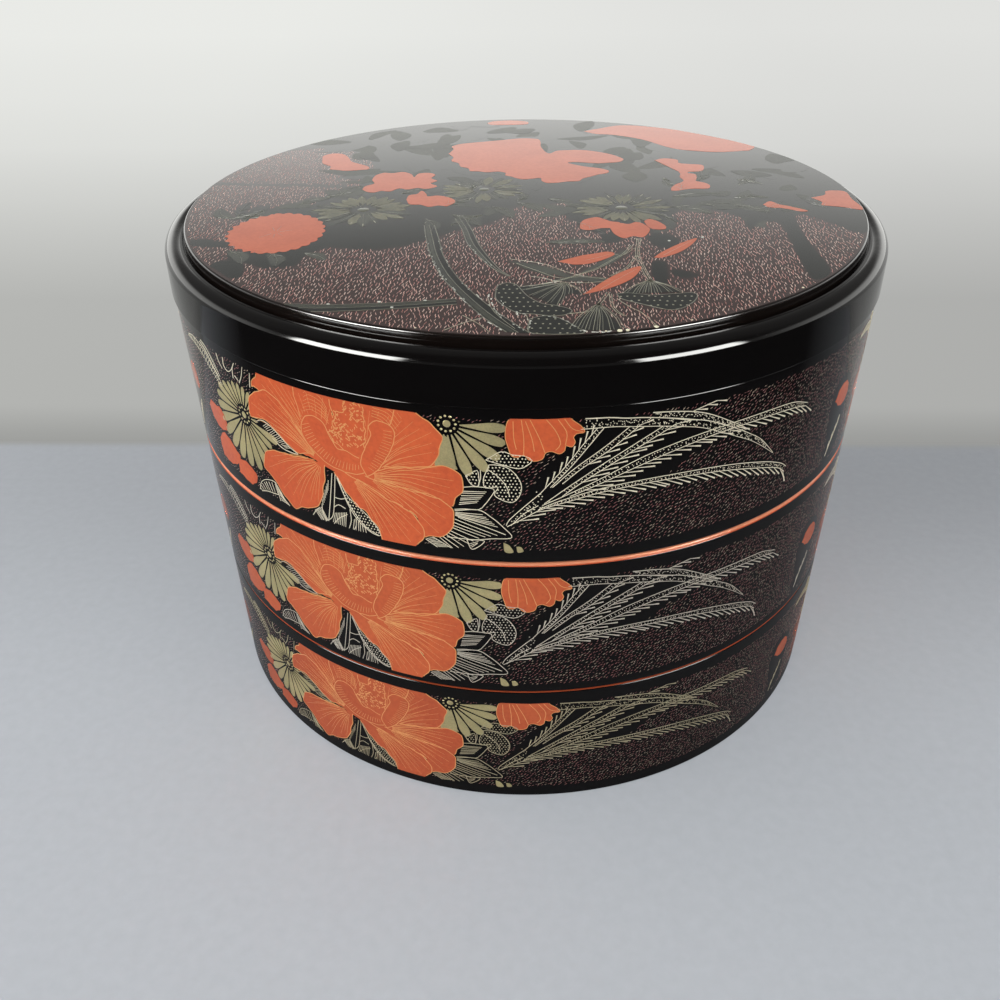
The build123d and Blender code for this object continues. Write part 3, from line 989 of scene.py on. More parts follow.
# The dark wedge under the peony's heart, with a double stem, and the shaded gap at its left.
wedge = ((-51.5, 19), (-56, 10), (-60, 3), (-64, 0.2), (-38.8, 0.2), (-42, 7), (-48, 13))
bare.fill(vectors(wedge), dark_coat)
for line in ([(-52.4, 18), (-54, 10), (-55.9, 1.2)], [(-51.4, 18), (-52.7, 10), (-54.2, 3.4), (-57, 0.8)],
             [(-51, 17), (-48.5, 10), (-44, 3.5), (-40, 1.2)],
             [(-52.6, 10.2), (-50.6, 10.2), (-49.2, 10.8)], [(-53.4, 6.6), (-51.6, 8), (-49.4, 7.4)],
             [(-48, 7.6), (-48, 4), (-49, 1)], [(-49, 5.6), (-52, 3.4), (-54, 1)],
             [(-46.4, 5), (-46.6, 2.6), (-47.4, 1)], [(-57.4, 6.6), (-57.6, 4), (-56.4, 1.2)],
             [(-58.4, 5), (-60, 3.4), (-61.4, 1.4)]):
    line_paint.stroke(curve(line), plain_line)
line_paint.stripes([(-53.6, 17), (-57.6, 8)], [(-54.6, 11), (-57.2, 5)], 7, fine_line, (0.2, 0.8))
line_paint.stripes([(-60.6, 3.4), (-57.4, 5.6)], [(-58.4, 0.8), (-55.8, 1.4)], 6, plain_line)
line_paint.stripes([(-52.8, 6), (-48.8, 8)], [(-54.6, 1.4), (-49.6, 1)], 8, plain_line, (0.25, 1.0))
line_paint.stripes([(-47, 5.6), (-43.6, 4)], [(-48, 1), (-43, 1)], 6, plain_line, (0.2, 1.0))
shaded = [(-79, 25.6), (-76.5, 26.8), (-73.2, 26.2), (-70, 24.4), (-66.4, 21.8), (-63.6, 20.5), (-69, 20.4),
          (-73, 22.4)]
bare.fill(closed_curve(shaded), dark_coat)
line_paint.stroke(curve(shaded), plain_line)
line_paint.stripes([(-76.6, 25.2), (-72, 22.4), (-67.6, 20.8)], [(-74.6, 26.6), (-70, 24.2), (-65.4, 21.4)],
                   15, fine_line)
foot_leaves = (
    ([(-84, 1), (-82.6, 4), (-80, 6), (-76.6, 7), (-75, 6.6)],
     [(-83, 0.8), (-80, 2), (-76.6, 2.6), (-74.6, 3)]),
    ([(-75.4, 7), (-75, 4.6), (-74.4, 1)], [(-73.6, 4.4), (-72.6, 2.6), (-70.6, 0.8)]),
    ([(-26, 3), (-24.6, 2), (-22.8, 0.8)], [(-24, 4), (-21.6, 2.6), (-19, 1)]),
)
for first, last in foot_leaves:
    bare.fill(vectors(first + last[::-1]), dark_coat)
    line_paint.stroke(curve(first), plain_line)
    line_paint.stroke(curve(last), plain_line)
    line_paint.stripes(first, last, 8, fine_line, (0.15, 0.9))

# Grass at the spray's left end: tendrils beside the peony and two hatched blades behind.
blade_line = 0.36
for line in ([(-91, 41), (-91.2, 38.4), (-89.6, 37.2), (-87.4, 38.4), (-85.4, 41)],
             [(-87, 36), (-86.6, 39), (-85.2, 41.2)], [(-84.2, 35.6), (-82.6, 38), (-81.2, 41.4)],
             [(-86, 37.2), (-84.4, 36)], [(-79.2, 36), (-78.8, 38), (-78.2, 40.6)],
             [(-94.6, 41), (-94, 38.8), (-92.4, 37)]):
    line_paint.stroke(curve(line), blade_line, end=0.6)
hatched = (
    ([(-117, 38.6), (-112, 39.8), (-107, 39.4), (-102, 37.4), (-98, 34.4), (-94.6, 31)],
     [(-117, 38), (-111, 38), (-106, 36.8), (-101, 34), (-97, 31.4), (-95.4, 30.2)]),
    ([(-104.6, 41.4), (-101, 40), (-97.6, 37), (-95, 33.4)],
     [(-105.6, 40.4), (-102, 38.6), (-98.6, 35.4), (-95.6, 32.4)]),
)
for upper, lower in hatched:
    bare.fill(vectors(upper + lower[::-1]), dark_coat)
    line_paint.stroke(curve(upper), plain_line, end=0.5)
    line_paint.stroke(curve(lower), plain_line, end=0.5)
    line_paint.stripes(upper, [p - Vector((1.2, 0.4)) for p in curve(lower)], 20, fine_line)


awn_spread = 25  # degrees between a bristle and its stem
awn_knob = 2.1  # how much thicker a bristle ends


def awns(line, first, last, side, length, gap=2.7):
    """The fine bristles along one side of a plume's stem, each ending in a small knob."""
    run = 0
    due = first
    for before, here in zip(line, line[1:]):
        run += (here - before).length
        if run >= due and run <= last:
            due += gap
            along = (here - before).normalized()
            reach = length * dice.uniform(0.85, 1.1)
            tip = Matrix.Rotation(math.radians(awn_spread) * side, 2) @ along * reach
            line_paint.stroke([here, here + tip * 0.6, here + tip], plain_line, start=0.6, end=awn_knob)


# Pampas grass: each plume is a double-drawn stem with specks inside, and bristles below it.
plumes = (
    ([(4.5, 19.8), (10.5, 27.5), (14.6, 33.6), (18.2, 38.4)],
     [(7, 21.5), (12, 27.5), (16, 33), (19.8, 38.3)], 1, (1.5, 23), 3.4),
    ([(7.5, 21.5), (13, 27), (20, 32.5), (26.2, 37.8)], [(10, 22.5), (15, 27), (22, 32), (29, 38)], -1,
     (8, 40), 3.6),
    ([(5.5, 16.5), (12, 21.8), (20, 27.6), (28, 32.6), (35, 36.6)],
     [(10, 18.6), (15, 22.6), (22, 27.2), (30, 32), (38.4, 36.6)], -1, (6, 40), 4.6),
    ([(5, 16), (12, 19.4), (20, 23.4), (30, 28.2), (40, 31.1), (50, 32.6), (60, 33.1), (70, 33), (78, 32.2),
      (84.6, 29.8)],
     [(12, 18.5), (20, 21.9), (30, 26), (40, 29), (50, 30.9), (60, 31.4), (70, 31.2), (78, 30.4), (84, 29)],
     -1, (4, 78), 5.2),
    ([(4.5, 15), (10, 17.4), (20, 20.2), (30, 21.3), (40, 21.4), (50, 20.8), (60, 19.2), (70, 16.4),
      (77, 13.4), (80, 11.2)],
     [(-4, 9.2), (0, 11.7), (5, 14.8), (12, 17), (20, 19), (30, 20.1), (40, 20.1), (50, 19.3), (60, 17.4),
      (70, 14.5), (76.4, 12), (79.6, 9.6)],
     -1, (3, 91), 5.2),
)
speck, speck_sides = 0.17, 5
widest_stem = 2.6
narrowest_blade = 0.8
for upper, lower, side, (first, last), length in plumes:
    upper, lower = curve(upper), curve(lower)
    line_paint.stroke(upper, plain_line)
    line_paint.stroke(lower, plain_line)
    awns(upper if side > 0 else lower, first, last, side, length)
    for here in lower[2:-2]:
        facing = min(upper, key=lambda p: (p - here).length)
        if (facing - here).length < widest_stem:
            for share in (0.33, 0.66):
                spot = here.lerp(facing, share + dice.uniform(-0.15, 0.15))
                line_paint.dot(spot + Vector((dice.uniform(-0.3, 0.3), 0)), speck, line_coat, speck_sides)
stem_foot = curve([(-4.2, 9.6), (-3.4, 11.4), (0, 15.2), (4.5, 19.8)])
line_paint.stroke(stem_foot, plain_line)
line_paint.stroke(curve([(-3, 9.6), (0.6, 13.6), (4, 16)]), plain_line)
stem_low, stem_high = Vector((-3, 10)), Vector((5.6, 18.6))
stem_specks = 46
for _ in range(stem_specks):
    share = dice.random()
    spot = stem_low.lerp(stem_high, share) + Vector((1, -1)) * dice.uniform(-1, 1) * (0.3 + share * 1.6)
    line_paint.dot(spot, 0.2, line_coat, speck_sides)
blades = (
    ([(15, 41.2), (21, 41), (25, 40.4), (30, 39.9), (36, 38.8), (41, 37.4), (47, 35.9), (52, 33.6),
      (57, 31), (62, 28), (67, 24.5), (72.6, 18.6)],
     [(14, 38.3), (22, 38.3), (28, 37.6), (34, 36.8), (40, 35.6), (46, 34), (52, 31.3), (58, 28.2),
      (63, 25.5), (68, 22), (72.6, 18.4)]),
    ([(32, 41), (38, 40.3), (44, 39), (49, 37), (54, 34.2), (58, 31.8), (62, 29)],
     [(32, 39.6), (38, 38.4), (44, 36.8), (50, 34.7), (56, 31.6), (61, 28.6)]),
)
for upper, lower in blades:
    upper, lower = curve(upper), curve(lower)
    bare.fill(upper + lower[::-1], dark_coat)
    line_paint.stroke(upper, blade_line, end=0.5)
    line_paint.stroke(lower, plain_line, end=0.6)
    for here in lower[1:-1]:
        facing = min(upper, key=lambda p: (p - here).length)
        if (facing - here).length > narrowest_blade:
            for _ in range(3):
                spot = here.lerp(facing, dice.uniform(0.1, 0.9)) + Vector((dice.uniform(-0.45, 0.45), 0))
                line_paint.dot(spot, speck, line_coat, speck_sides)
tuft = curve([(104.8, 3.4), (107, 7.4), (110.6, 12.6)])
line_paint.stroke(tuft, plain_line)
awns(tuft, 1, 12, 1, 2.4, 1.4)
tip = curve([(43, 39.4), (46, 40.2), (49.6, 41)])
line_paint.stroke(tip, plain_line)
awns(tip, 1, 7, -1, 3.0)
grass_shadow = [(-4, 9), (5, 14), (20, 18.6), (34, 19.8), (44, 27), (60, 31), (58, 33), (50, 35.4),
                (26, 41), (15, 41), (10, 32), (3, 22)]
bare.fill(vectors(grass_shadow), dark_coat)


wrapped, inside, outside = new_tree(
    "paint on a round wall", Reference_Radius="Float", Foot_Radius="Float", Lean="Float",
    Foot_Height="Float", Slip="Float", Squeeze="Float", Repeats="Int", Paint="Material",
)
here = split(wrapped, point_place(wrapped))
angle = calc(wrapped, "DIVIDE", calc(wrapped, "ADD", here["X"], inside["Slip"]), inside["Reference_Radius"])
up = calc(wrapped, "MULTIPLY", here["Y"], inside["Squeeze"])
wall_there = calc(wrapped, "MULTIPLY_ADD", up, inside["Lean"], inside["Foot_Radius"])
radius = calc(wrapped, "ADD", here["Z"], wall_there)
on_wall = add(wrapped, "ShaderNodeCombineXYZ", {
    "X": calc(wrapped, "MULTIPLY", radius, calc(wrapped, "SINE", angle)),
    "Y": calc(wrapped, "MULTIPLY", radius, calc(wrapped, "MULTIPLY", calc(wrapped, "COSINE", angle), -1.0)),
    "Z": calc(wrapped, "ADD", up, inside["Foot_Height"]),
}).outputs[0]
bent = add(wrapped, "GeometryNodeSetPosition", {
    "Geometry": inside["Geometry"], "Position": on_wall}).outputs[0]
places = add(wrapped, "GeometryNodePoints", {"Count": inside["Repeats"]}).outputs[0]
number = add(wrapped, "GeometryNodeInputIndex").outputs[0]
turn = calc(wrapped, "DIVIDE", calc(wrapped, "MULTIPLY", number, math.tau), inside["Repeats"])
turn = add(wrapped, "FunctionNodeEulerToRotation", {
    "Euler": add(wrapped, "ShaderNodeCombineXYZ", {"Z": turn}).outputs[0]}).outputs[0]
copies = add(wrapped, "GeometryNodeInstanceOnPoints", {
    "Points": places, "Instance": bent, "Rotation": turn}).outputs[0]
wrapped.links.new(made_real(wrapped, copies, inside["Paint"]), outside["Geometry"])

coat_gloss = 0.36
slow_scale = 90
fine_share, slow_share = 0.5, 0.5
powder_from, powder_to = 0.35, 0.65


def powder(name, colour, deep_colour, roughness, metallic, grain):
    """Sprinkled powder or pigment under clear lacquer: a fine grain and a slow drift between two tones."""
    material = new_material(name, colour, roughness, Metallic=metallic, IOR=1.45,
                            Specular_IOR_Level=coat_gloss)
    tree = material.node_tree
    place = own_place(tree)
    fine = calc(tree, "MULTIPLY", noise(tree, place, grain, 2), fine_share)
    slow = calc(tree, "MULTIPLY", noise(tree, place, slow_scale, 3), slow_share)
    share = ranged(tree, calc(tree, "ADD", fine, slow), powder_from, powder_to)
    tone = mixed(tree, share, (*deep_colour, 1), (*colour, 1))
    tree.links.new(tone, tree.nodes["Principled BSDF"].inputs["Base Color"])
    return material


# Painted light and shade: the same vermilion is lighter on the upper tier and darker on the lower ones.
pigment_roughness, pigment_grain = 0.16, 900
red_lit_and_shaded = {  # one vermilion in three copies, lighter above and darker below, and the deeper tone each drifts to
    "lower_tier": ("worn_vermilion_pigment", (0.58, 0.125, 0.05), (0.48, 0.093, 0.04)),
    "middle_tier": ("plain_vermilion_pigment", (0.65, 0.14, 0.052), (0.54, 0.105, 0.042)),
    "upper_tier": ("bright_vermilion_pigment", (0.72, 0.14, 0.05), (0.60, 0.105, 0.04)),
}
red_pigments = {}
for tier, tones in red_lit_and_shaded.items():
    red_pigments[tier] = powder(*tones, pigment_roughness, 0.0, pigment_grain)
gold_powder = powder("gold_powder_grain", (0.56, 0.48, 0.25), (0.39, 0.34, 0.18), 0.34, 0.35, 2200)
warm_gold = new_material("warm_gold_line", (0.74, 0.34, 0.12), 0.3, Specular_IOR_Level=coat_gloss)
# Painted light and shade: the same gold line is pale and silvery on the upper tier and duller further down.
line_golds_lit_and_shaded = {
    "lower_tier": new_material("gold_line_painted_shade", (0.40, 0.35, 0.23), 0.3, Specular_IOR_Level=coat_gloss),
    "middle_tier": new_material("gold_line_half_shade", (0.54, 0.49, 0.41), 0.3, Specular_IOR_Level=coat_gloss),
    "upper_tier": new_material("gold_line_painted_light", (0.80, 0.73, 0.56), 0.3, Specular_IOR_Level=coat_gloss),
}


# No two bands sit quite alike: how far each one is turned, squeezed in height and raised.
band_places = {
    "lower_tier": (-3.4 * MM, 0.92, -0.6 * MM),
    "middle_tier": (-1.4 * MM, 0.99, -1.2 * MM),
    "upper_tier": (0, 1, 0),
}


def band_sizes(tier):
    """Where a tier's painted band starts, and how its wall leans."""
    low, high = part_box(tier + "_wall")
    slip, squeeze, lift = band_places[tier]
    foot = (low.z + high.z - band_height * squeeze) / 2 + lift
    lean = (seam_radius - foot_radius) / seam_height
    return {
        "Reference_Radius": band_reference_radius, "Foot_Radius": outer_radius(foot), "Foot_Height": foot,
        "Lean": lean, "Repeats": band_repeats, "Slip": slip, "Squeeze": squeeze,
    }


coats = (
    ("vermilion_flowers", red_paint, red_pigments, "vermilion_lacquer"),
    ("gold_flowers", gold_paint, dict.fromkeys(tiers, gold_powder), "gold_powder"),
    ("flower_veins", vein_paint, dict.fromkeys(tiers, warm_gold), "gold_powder"),
    ("gold_lines", line_paint, line_golds_lit_and_shaded, "gold_powder"),
)
for name, drawing, paints, slot in coats:
    flat = new_piece("flat_" + name, drawing.points, drawing.faces)
    for tier in tiers:
        piece = run_tree(wrapped, flat, f"{tier}_{name}", Paint=paints[tier], **band_sizes(tier))
        smooth(piece)
        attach(piece, tier)
    bpy.data.objects.remove(flat)


# The ground of the bands: thousands of short slanting touches of rose and cream powder, sprinkled
# on the black between the flowers and kept clear of them.
stroke_spacing = 0.80 * MM
stroke_clearance = 0.42 * MM
stroke_density = 7e6  # per square metre, before the spacing thins them
stroke_size = Vector((0.98, 0.19, 0.05)) * MM
stroke_slant = math.radians(38)
stroke_sway = math.radians(14)
smallest_stroke, largest_stroke = 0.7, 1.2  # as shares of the stroke's size
sway_seed, size_seed, band_seed, lid_seed = 3, 5, 11, 4
strokes, inside, outside = new_tree(
    "sprinkled strokes", Keep_Off="Object", Spacing="Float", Stretch="Float", Clearance="Float",
    Density="Float", Slant="Float", Sway="Float", From_Share="Float", To_Share="Float", Seed="Int",
    Stroke="Object", Paint="Material",
)
spots = add(strokes, "GeometryNodeDistributePointsOnFaces", {
    "Mesh": inside["Geometry"], "Distance Min": inside["Spacing"], "Density Max": inside["Density"],
    "Seed": inside["Seed"],
}, distribute_method="POISSON").outputs[0]
there = add(strokes, "ShaderNodeVectorMath", {
    0: point_place(strokes),
    1: add(strokes, "ShaderNodeCombineXYZ", {"X": 1.0, "Y": inside["Stretch"], "Z": 1.0}).outputs[0],
}, operation="MULTIPLY").outputs[0]
spots = add(strokes, "GeometryNodeSetPosition", {"Geometry": spots, "Position": there}).outputs[0]
kept_off = add(strokes, "GeometryNodeObjectInfo", {"Object": inside["Keep_Off"]}).outputs["Geometry"]
distance = add(strokes, "GeometryNodeProximity", {0: kept_off}, target_element="FACES").outputs["Distance"]
too_near = calc(strokes, "LESS_THAN", distance, inside["Clearance"])
draw = add(strokes, "FunctionNodeRandomValue", {"Seed": inside["Seed"]}, data_type="FLOAT").outputs[1]
other_tone = calc(strokes, "MAXIMUM", calc(strokes, "LESS_THAN", draw, inside["From_Share"]),
                  calc(strokes, "GREATER_THAN", draw, inside["To_Share"]))
kept = add(strokes, "GeometryNodeDeleteGeometry", {
    "Geometry": spots, "Selection": calc(strokes, "MAXIMUM", too_near, other_tone)},
    domain="POINT").outputs[0]
sway = add(strokes, "FunctionNodeRandomValue", {"Min": -1.0, "Max": 1.0, "Seed": sway_seed},
           data_type="FLOAT").outputs[1]
slant = calc(strokes, "MULTIPLY_ADD", sway, inside["Sway"], inside["Slant"])
slant = add(strokes, "FunctionNodeEulerToRotation", {
    "Euler": add(strokes, "ShaderNodeCombineXYZ", {"Z": slant}).outputs[0]}).outputs[0]
size = add(strokes, "FunctionNodeRandomValue", {
    "Min": smallest_stroke, "Max": largest_stroke, "Seed": size_seed}, data_type="FLOAT").outputs[1]
one_stroke = add(strokes, "GeometryNodeObjectInfo", {"Object": inside["Stroke"]}).outputs["Geometry"]
laid = add(strokes, "GeometryNodeInstanceOnPoints", {
    "Points": kept, "Instance": one_stroke, "Rotation": slant, "Scale": size}).outputs[0]
strokes.links.new(made_real(strokes, laid, inside["Paint"]), outside["Geometry"])

half = stroke_size / 2
short_stroke = new_piece("short_stroke", [
    (-half.x, 0, 0), (half.x, 0, 0), (0, -half.y, 0), (0, half.y, 0), (0, 0, -half.z), (0, 0, half.z),
], [(0, 2, 5), (2, 1, 5), (1, 3, 5), (3, 0, 5), (2, 0, 4), (1, 2, 4), (3, 1, 4), (0, 3, 4)])


def joined(drawings):
    """The points and faces of several drawings as one."""
    points, faces = [], []
    for drawing in drawings:
        faces += [[len(points) + i for i in face] for face in drawing.faces]
        points += drawing.points
    return points, faces


keep_off = new_piece("keep_off", *joined((red_paint, gold_paint, line_paint, vein_paint, bare)))
left_end = -118 * MM
band_margin = 0.4 * MM
stroke_foot = 1.5 * MM
field = new_piece("field", [
    (left_end + x * band_length, stroke_foot + y * (band_height - band_margin - stroke_foot), 0)
    for x, y in ((0, 0), (1, 0), (1, 1), (0, 1))], [(0, 1, 2, 3)])
rose_powder = new_material("rose_powder_stroke", (0.32, 0.125, 0.12), 0.4, Specular_IOR_Level=coat_gloss)
cream_powder = new_material("cream_powder_stroke", (0.46, 0.36, 0.28), 0.4, Specular_IOR_Level=coat_gloss)
rose_share = 0.62
tones = (("rose_strokes", rose_powder, 0.0, rose_share), ("cream_strokes", cream_powder, rose_share, 1.0))
for name, paint, low_share, high_share in tones:
    flat = run_tree(strokes, field, "flat_" + name, Keep_Off=keep_off, Spacing=stroke_spacing, Stretch=1.0,
                    Clearance=stroke_clearance, Density=stroke_density, Slant=stroke_slant,
                    Sway=stroke_sway, From_Share=low_share, To_Share=high_share, Seed=band_seed,
                    Stroke=short_stroke, Paint=paint)
    for tier in tiers:
        piece = run_tree(wrapped, flat, f"{tier}_{name}", Paint=paint, **band_sizes(tier))
        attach(piece, tier)
    bpy.data.objects.remove(flat)
for helper in (short_stroke, keep_off, field):
    bpy.data.objects.remove(helper)


# The lid's painting covers the whole board: a brown ground with wavy strokes, dark foliage with dull
# gold chrysanthemums on it, vermilion flowers, and reeds and fanned stems that sweep to the front.
lid_reach = 106.0
ground_height = 0.004 * MM
foliage_height = 0.008 * MM
foliage_step = 0.0002 * MM  # no coat lies in the plane of another
lid_gold_height = 0.048 * MM
lid_red_height = 0.053 * MM
lid_fine = 0.22
lid_line = 0.36


def lid_limit(point):
    """Keeps paint inside the lid board's flat face."""
    return point * min(1, lid_reach / max(point.length, 1e-6))


lid_ground, lid_dark, lid_olive, lid_gold, lid_red, lid_dim, lid_lines, lid_glints = (
    Drawing(lid_limit, lid_face, 0) for _ in range(8))
lid_sides = 128
lid_ground.fill([toward(math.tau * k / lid_sides) * lid_reach for k in range(lid_sides)], ground_height)
coats_laid = 0


def lay(paint, outline, step=1.5):
    """One coat of foliage, a little higher than the coat before it."""
    global coats_laid
    coats_laid += 1
    paint.fill(closed_curve(outline, step)[:-1], foliage_height + foliage_step * coats_laid)


foliage = [(-90, 57), (-76, 62), (-63, 57), (-56, 46), (-52, 32), (-55, 16), (-60, 9), (-65, 3), (-68, -7),
           (-76, -9), (-84, -10.7), (-89, -18), (-84, -22), (-70, -24), (-64, -30), (-66, -44), (-80, -49),
           (-79, -56), (-75, -59), (-70, -61.5), (-63, -60), (-61.4, -52), (-57, -46), (-54, -45.5),
           (-44.2, -47.4), (-35, -44.4), (-31, -41.4), (-28.9, -40), (-23, -33.8), (-18.2, -29.5),
           (-14.6, -27.3), (-7.5, -20.6), (-5, -12), (0, -7), (6, -6), (13.8, -5), (13, -13), (13.4, -20),
           (17.4, -24.7), (17, -31), (25, -30), (26, -34), (36, -33), (42, -28), (45.6, -17), (50.3, -11.2),
           (61, -13.2), (68.7, -22.7), (76.6, -24.6), (76.8, -38), (76.3, -53), (76.5, -70), (82.4, -64),
           (82, -43.6), (82, -26), (84.3, -16.1), (91.3, -22.8), (99, -33.6), (106, -20), (106, 20),
           (96, 52), (74, 78), (40, 99), (0, 106), (-40, 99), (-74, 78)]
lay(lid_dark, foliage)
for outline in (
    [(-97.5, -38.6), (-92, -38.4), (-86, -41), (-84.8, -45), (-90, -45), (-96, -43.6)],
    [(-112, 20), (-98, 18), (-84, 17), (-72, 16.4), (-60, 15), (-60, 12.6), (-72, 13.8), (-84, 14.4),
     (-98, 15.6), (-112, 17)],
    [(-86.6, -60), (-85, -56.4), (-79.7, -55.9), (-77, -60), (-76, -68.7), (-79.3, -68.7), (-83, -64)],
    [(-84, -50), (-76, -52), (-68, -50), (-63, -55), (-70, -62), (-76, -58), (-82, -56)],
    [(35.2, -57.2), (38.8, -56.6), (38.9, -63.3), (38.3, -70.3), (36.9, -74), (35.3, -72.5), (34.4, -66.8)],
    [(38, -33), (42, -34), (45, -40), (42, -46), (38, -45), (36, -38)],
    [(39.7, -62.8), (42.6, -63.6), (47, -66.8), (44.2, -69), (40.5, -68)],
    [(22.4, -34.9), (25, -33), (29, -36), (27, -41), (23.1, -41.5)],
):
    lay(lid_dark, outline)


leaf_fullness = 0.8
first_vein, vein_span = 0.15, 0.62  # where the veins leave the midrib, as shares of its length
vein_reach = 0.85
vein_line = lid_fine * 0.7


def leaf(paint, base, heading, length, width, veins=0, bend=0.12):
    """A pointed leaf, with a dim midrib and veins where it lies near the front."""
    base = Vector(base)
    along = toward(math.radians(heading))
    side = Vector((-along.y, along.x))
    halfway = base + along * length * 0.5 + side * length * bend
    spine = curve([base, halfway, base + along * length], 1.6)
    count = len(spine) - 1
    left, right = [], []
    for k, here in enumerate(spine):
        half = side * width / 2 * math.sin(math.pi * (0.04 + 0.94 * k / count)) ** leaf_fullness
        left.append(here + half)
        right.append(here - half)
    lay(paint, left + right[::-1])
    if veins:
        lid_dim.stroke(spine, lid_fine, end=0.4)
    for k in range(veins):
        at = int(count * (first_vein + vein_span * k / veins))
        ahead = min(at + max(2, count // 7), count)
        for edge in (left, right):
            lid_dim.stroke([spine[at], spine[at].lerp(edge[ahead], vein_reach)], vein_line, end=0.5)


# Leaves crowd the far half and the right, in two close tones; two patches of the dark stay plain.
plain_patches = (
    vectors(((-60, -25), (-44, -22), (-28, -22), (-20, -28), (-30, -46), (-46, -50), (-60, -42))),
    vectors(((-6, 0), (0, 18), (20, 20), (44, 14), (44, 2), (12, -8))),
    vectors(((74, -22), (84, -14), (86, -72), (74, -74))),
)
foliage_line = vectors(foliage)
leaf_count, leaf_reach = 150, 99
near_line, near_share = 24, 0.7  # nearer than this line the leaves are smaller
leaves_laid = 0
while leaves_laid < leaf_count:
    spot = Vector((dice.uniform(-96, 100), dice.uniform(-24, 98)))
    plain = any(holds(patch, spot) for patch in plain_patches)
    if plain or not holds(foliage_line, spot) or spot.length > leaf_reach:
        continue
    near = spot.y < near_line
    share = near_share if near else 1
    paint = lid_dark if leaves_laid % 3 == 1 else lid_olive
    leaf(paint, spot, dice.uniform(0, 360), dice.uniform(11, 22) * share, dice.uniform(5, 9) * share,
         2 if near and leaves_laid % 4 == 0 else 0, dice.uniform(-0.15, 0.15))
    leaves_laid += 1
for x, y, heading, length, width in (
    (-90, -20, 120, 12, 5), (-72, -6, 40, 12, 5), (-60, 4, 60, 12, 6), (-84, -48, -60, 12, 5),
    (-72, -50, -70, 11, 5), (-62, -50, -40, 9, 4), (-30, -20, -80, 13, 5), (-22, -16, -50, 14, 5),
    (-10, -8, -60, 13, 5), (-2, -4, -50, 12, 5), (8, 0, -40, 10, 4.5), (46, -8, -30, 14, 6),
    (56, -6, -10, 16, 6), (66, -8, -30, 12, 5), (48, 2, 10, 16, 6), (-40, 6, 30, 10, 5),
):
    leaf(lid_olive, (x, y), heading, length, width, 1)
leaf(lid_olive, (6.4, -41.4), 2, 17, 4.4, 5, 0.04)
for x, y, heading, length in (
    (-4, -56.4, -38, 24), (-2, -58.6, -44, 14), (29, -48, 232, 22), (8, -70.6, 2, 15), (24, -71, 168, 14),
):
    leaf(lid_olive, (x, y), heading, length, 3.2, 0, 0.05)


gilt_share, glint_share = 0.62, 0.4
petal_root, petal_widest = 0.24, 0.7  # here and below, shares of the petal's length
crease_from, crease_to = 0.3, 0.85
# Some petal tips carry a pale painted glint, between these shares of the petal's length.
glint_from, glint_to = 0.84, 0.98
middle_share = 0.13


def lid_daisy(centre, reach, count):
    """A dull gold chrysanthemum: ragged petals round a grey middle, some with a pale painted glint at the
    tip.
    """
    centre = Vector(centre)
    for k in range(count):
        along = toward(math.tau * (k + dice.uniform(-0.15, 0.15)) / count)
        side = Vector((-along.y, along.x)) * reach * math.tan(math.pi / count) * dice.uniform(0.5, 0.8)
        far = reach * dice.uniform(0.78, 1.0)
        root, widest = centre + along * reach * petal_root, centre + along * far * petal_widest
        outline = [root, widest + side, centre + along * far, widest - side, root]
        paint = lid_gold if dice.random() < gilt_share else lid_olive
        paint.fill(curve(outline)[:-1], lid_gold_height + coat_step * (k % 2))
        crease = [centre + along * reach * crease_from, centre + along * far * crease_to]
        lid_dim.stroke(crease, lid_fine, end=0.4)
        if dice.random() < glint_share:
            glint_tip = [centre + along * far * glint_from, centre + along * far * glint_to]
            lid_lines.stroke(glint_tip, 0.5, end=0.5)
    lid_dim.dot(centre, reach * middle_share, lid_gold_height, 12)


for centre, reach, count in (((-50.4, -11.0), 16.5, 22), ((-13.2, 10.2), 15.0, 22),
                             ((30.6, -9.5), 16.5, 24)):
    lid_daisy(centre, reach, count)

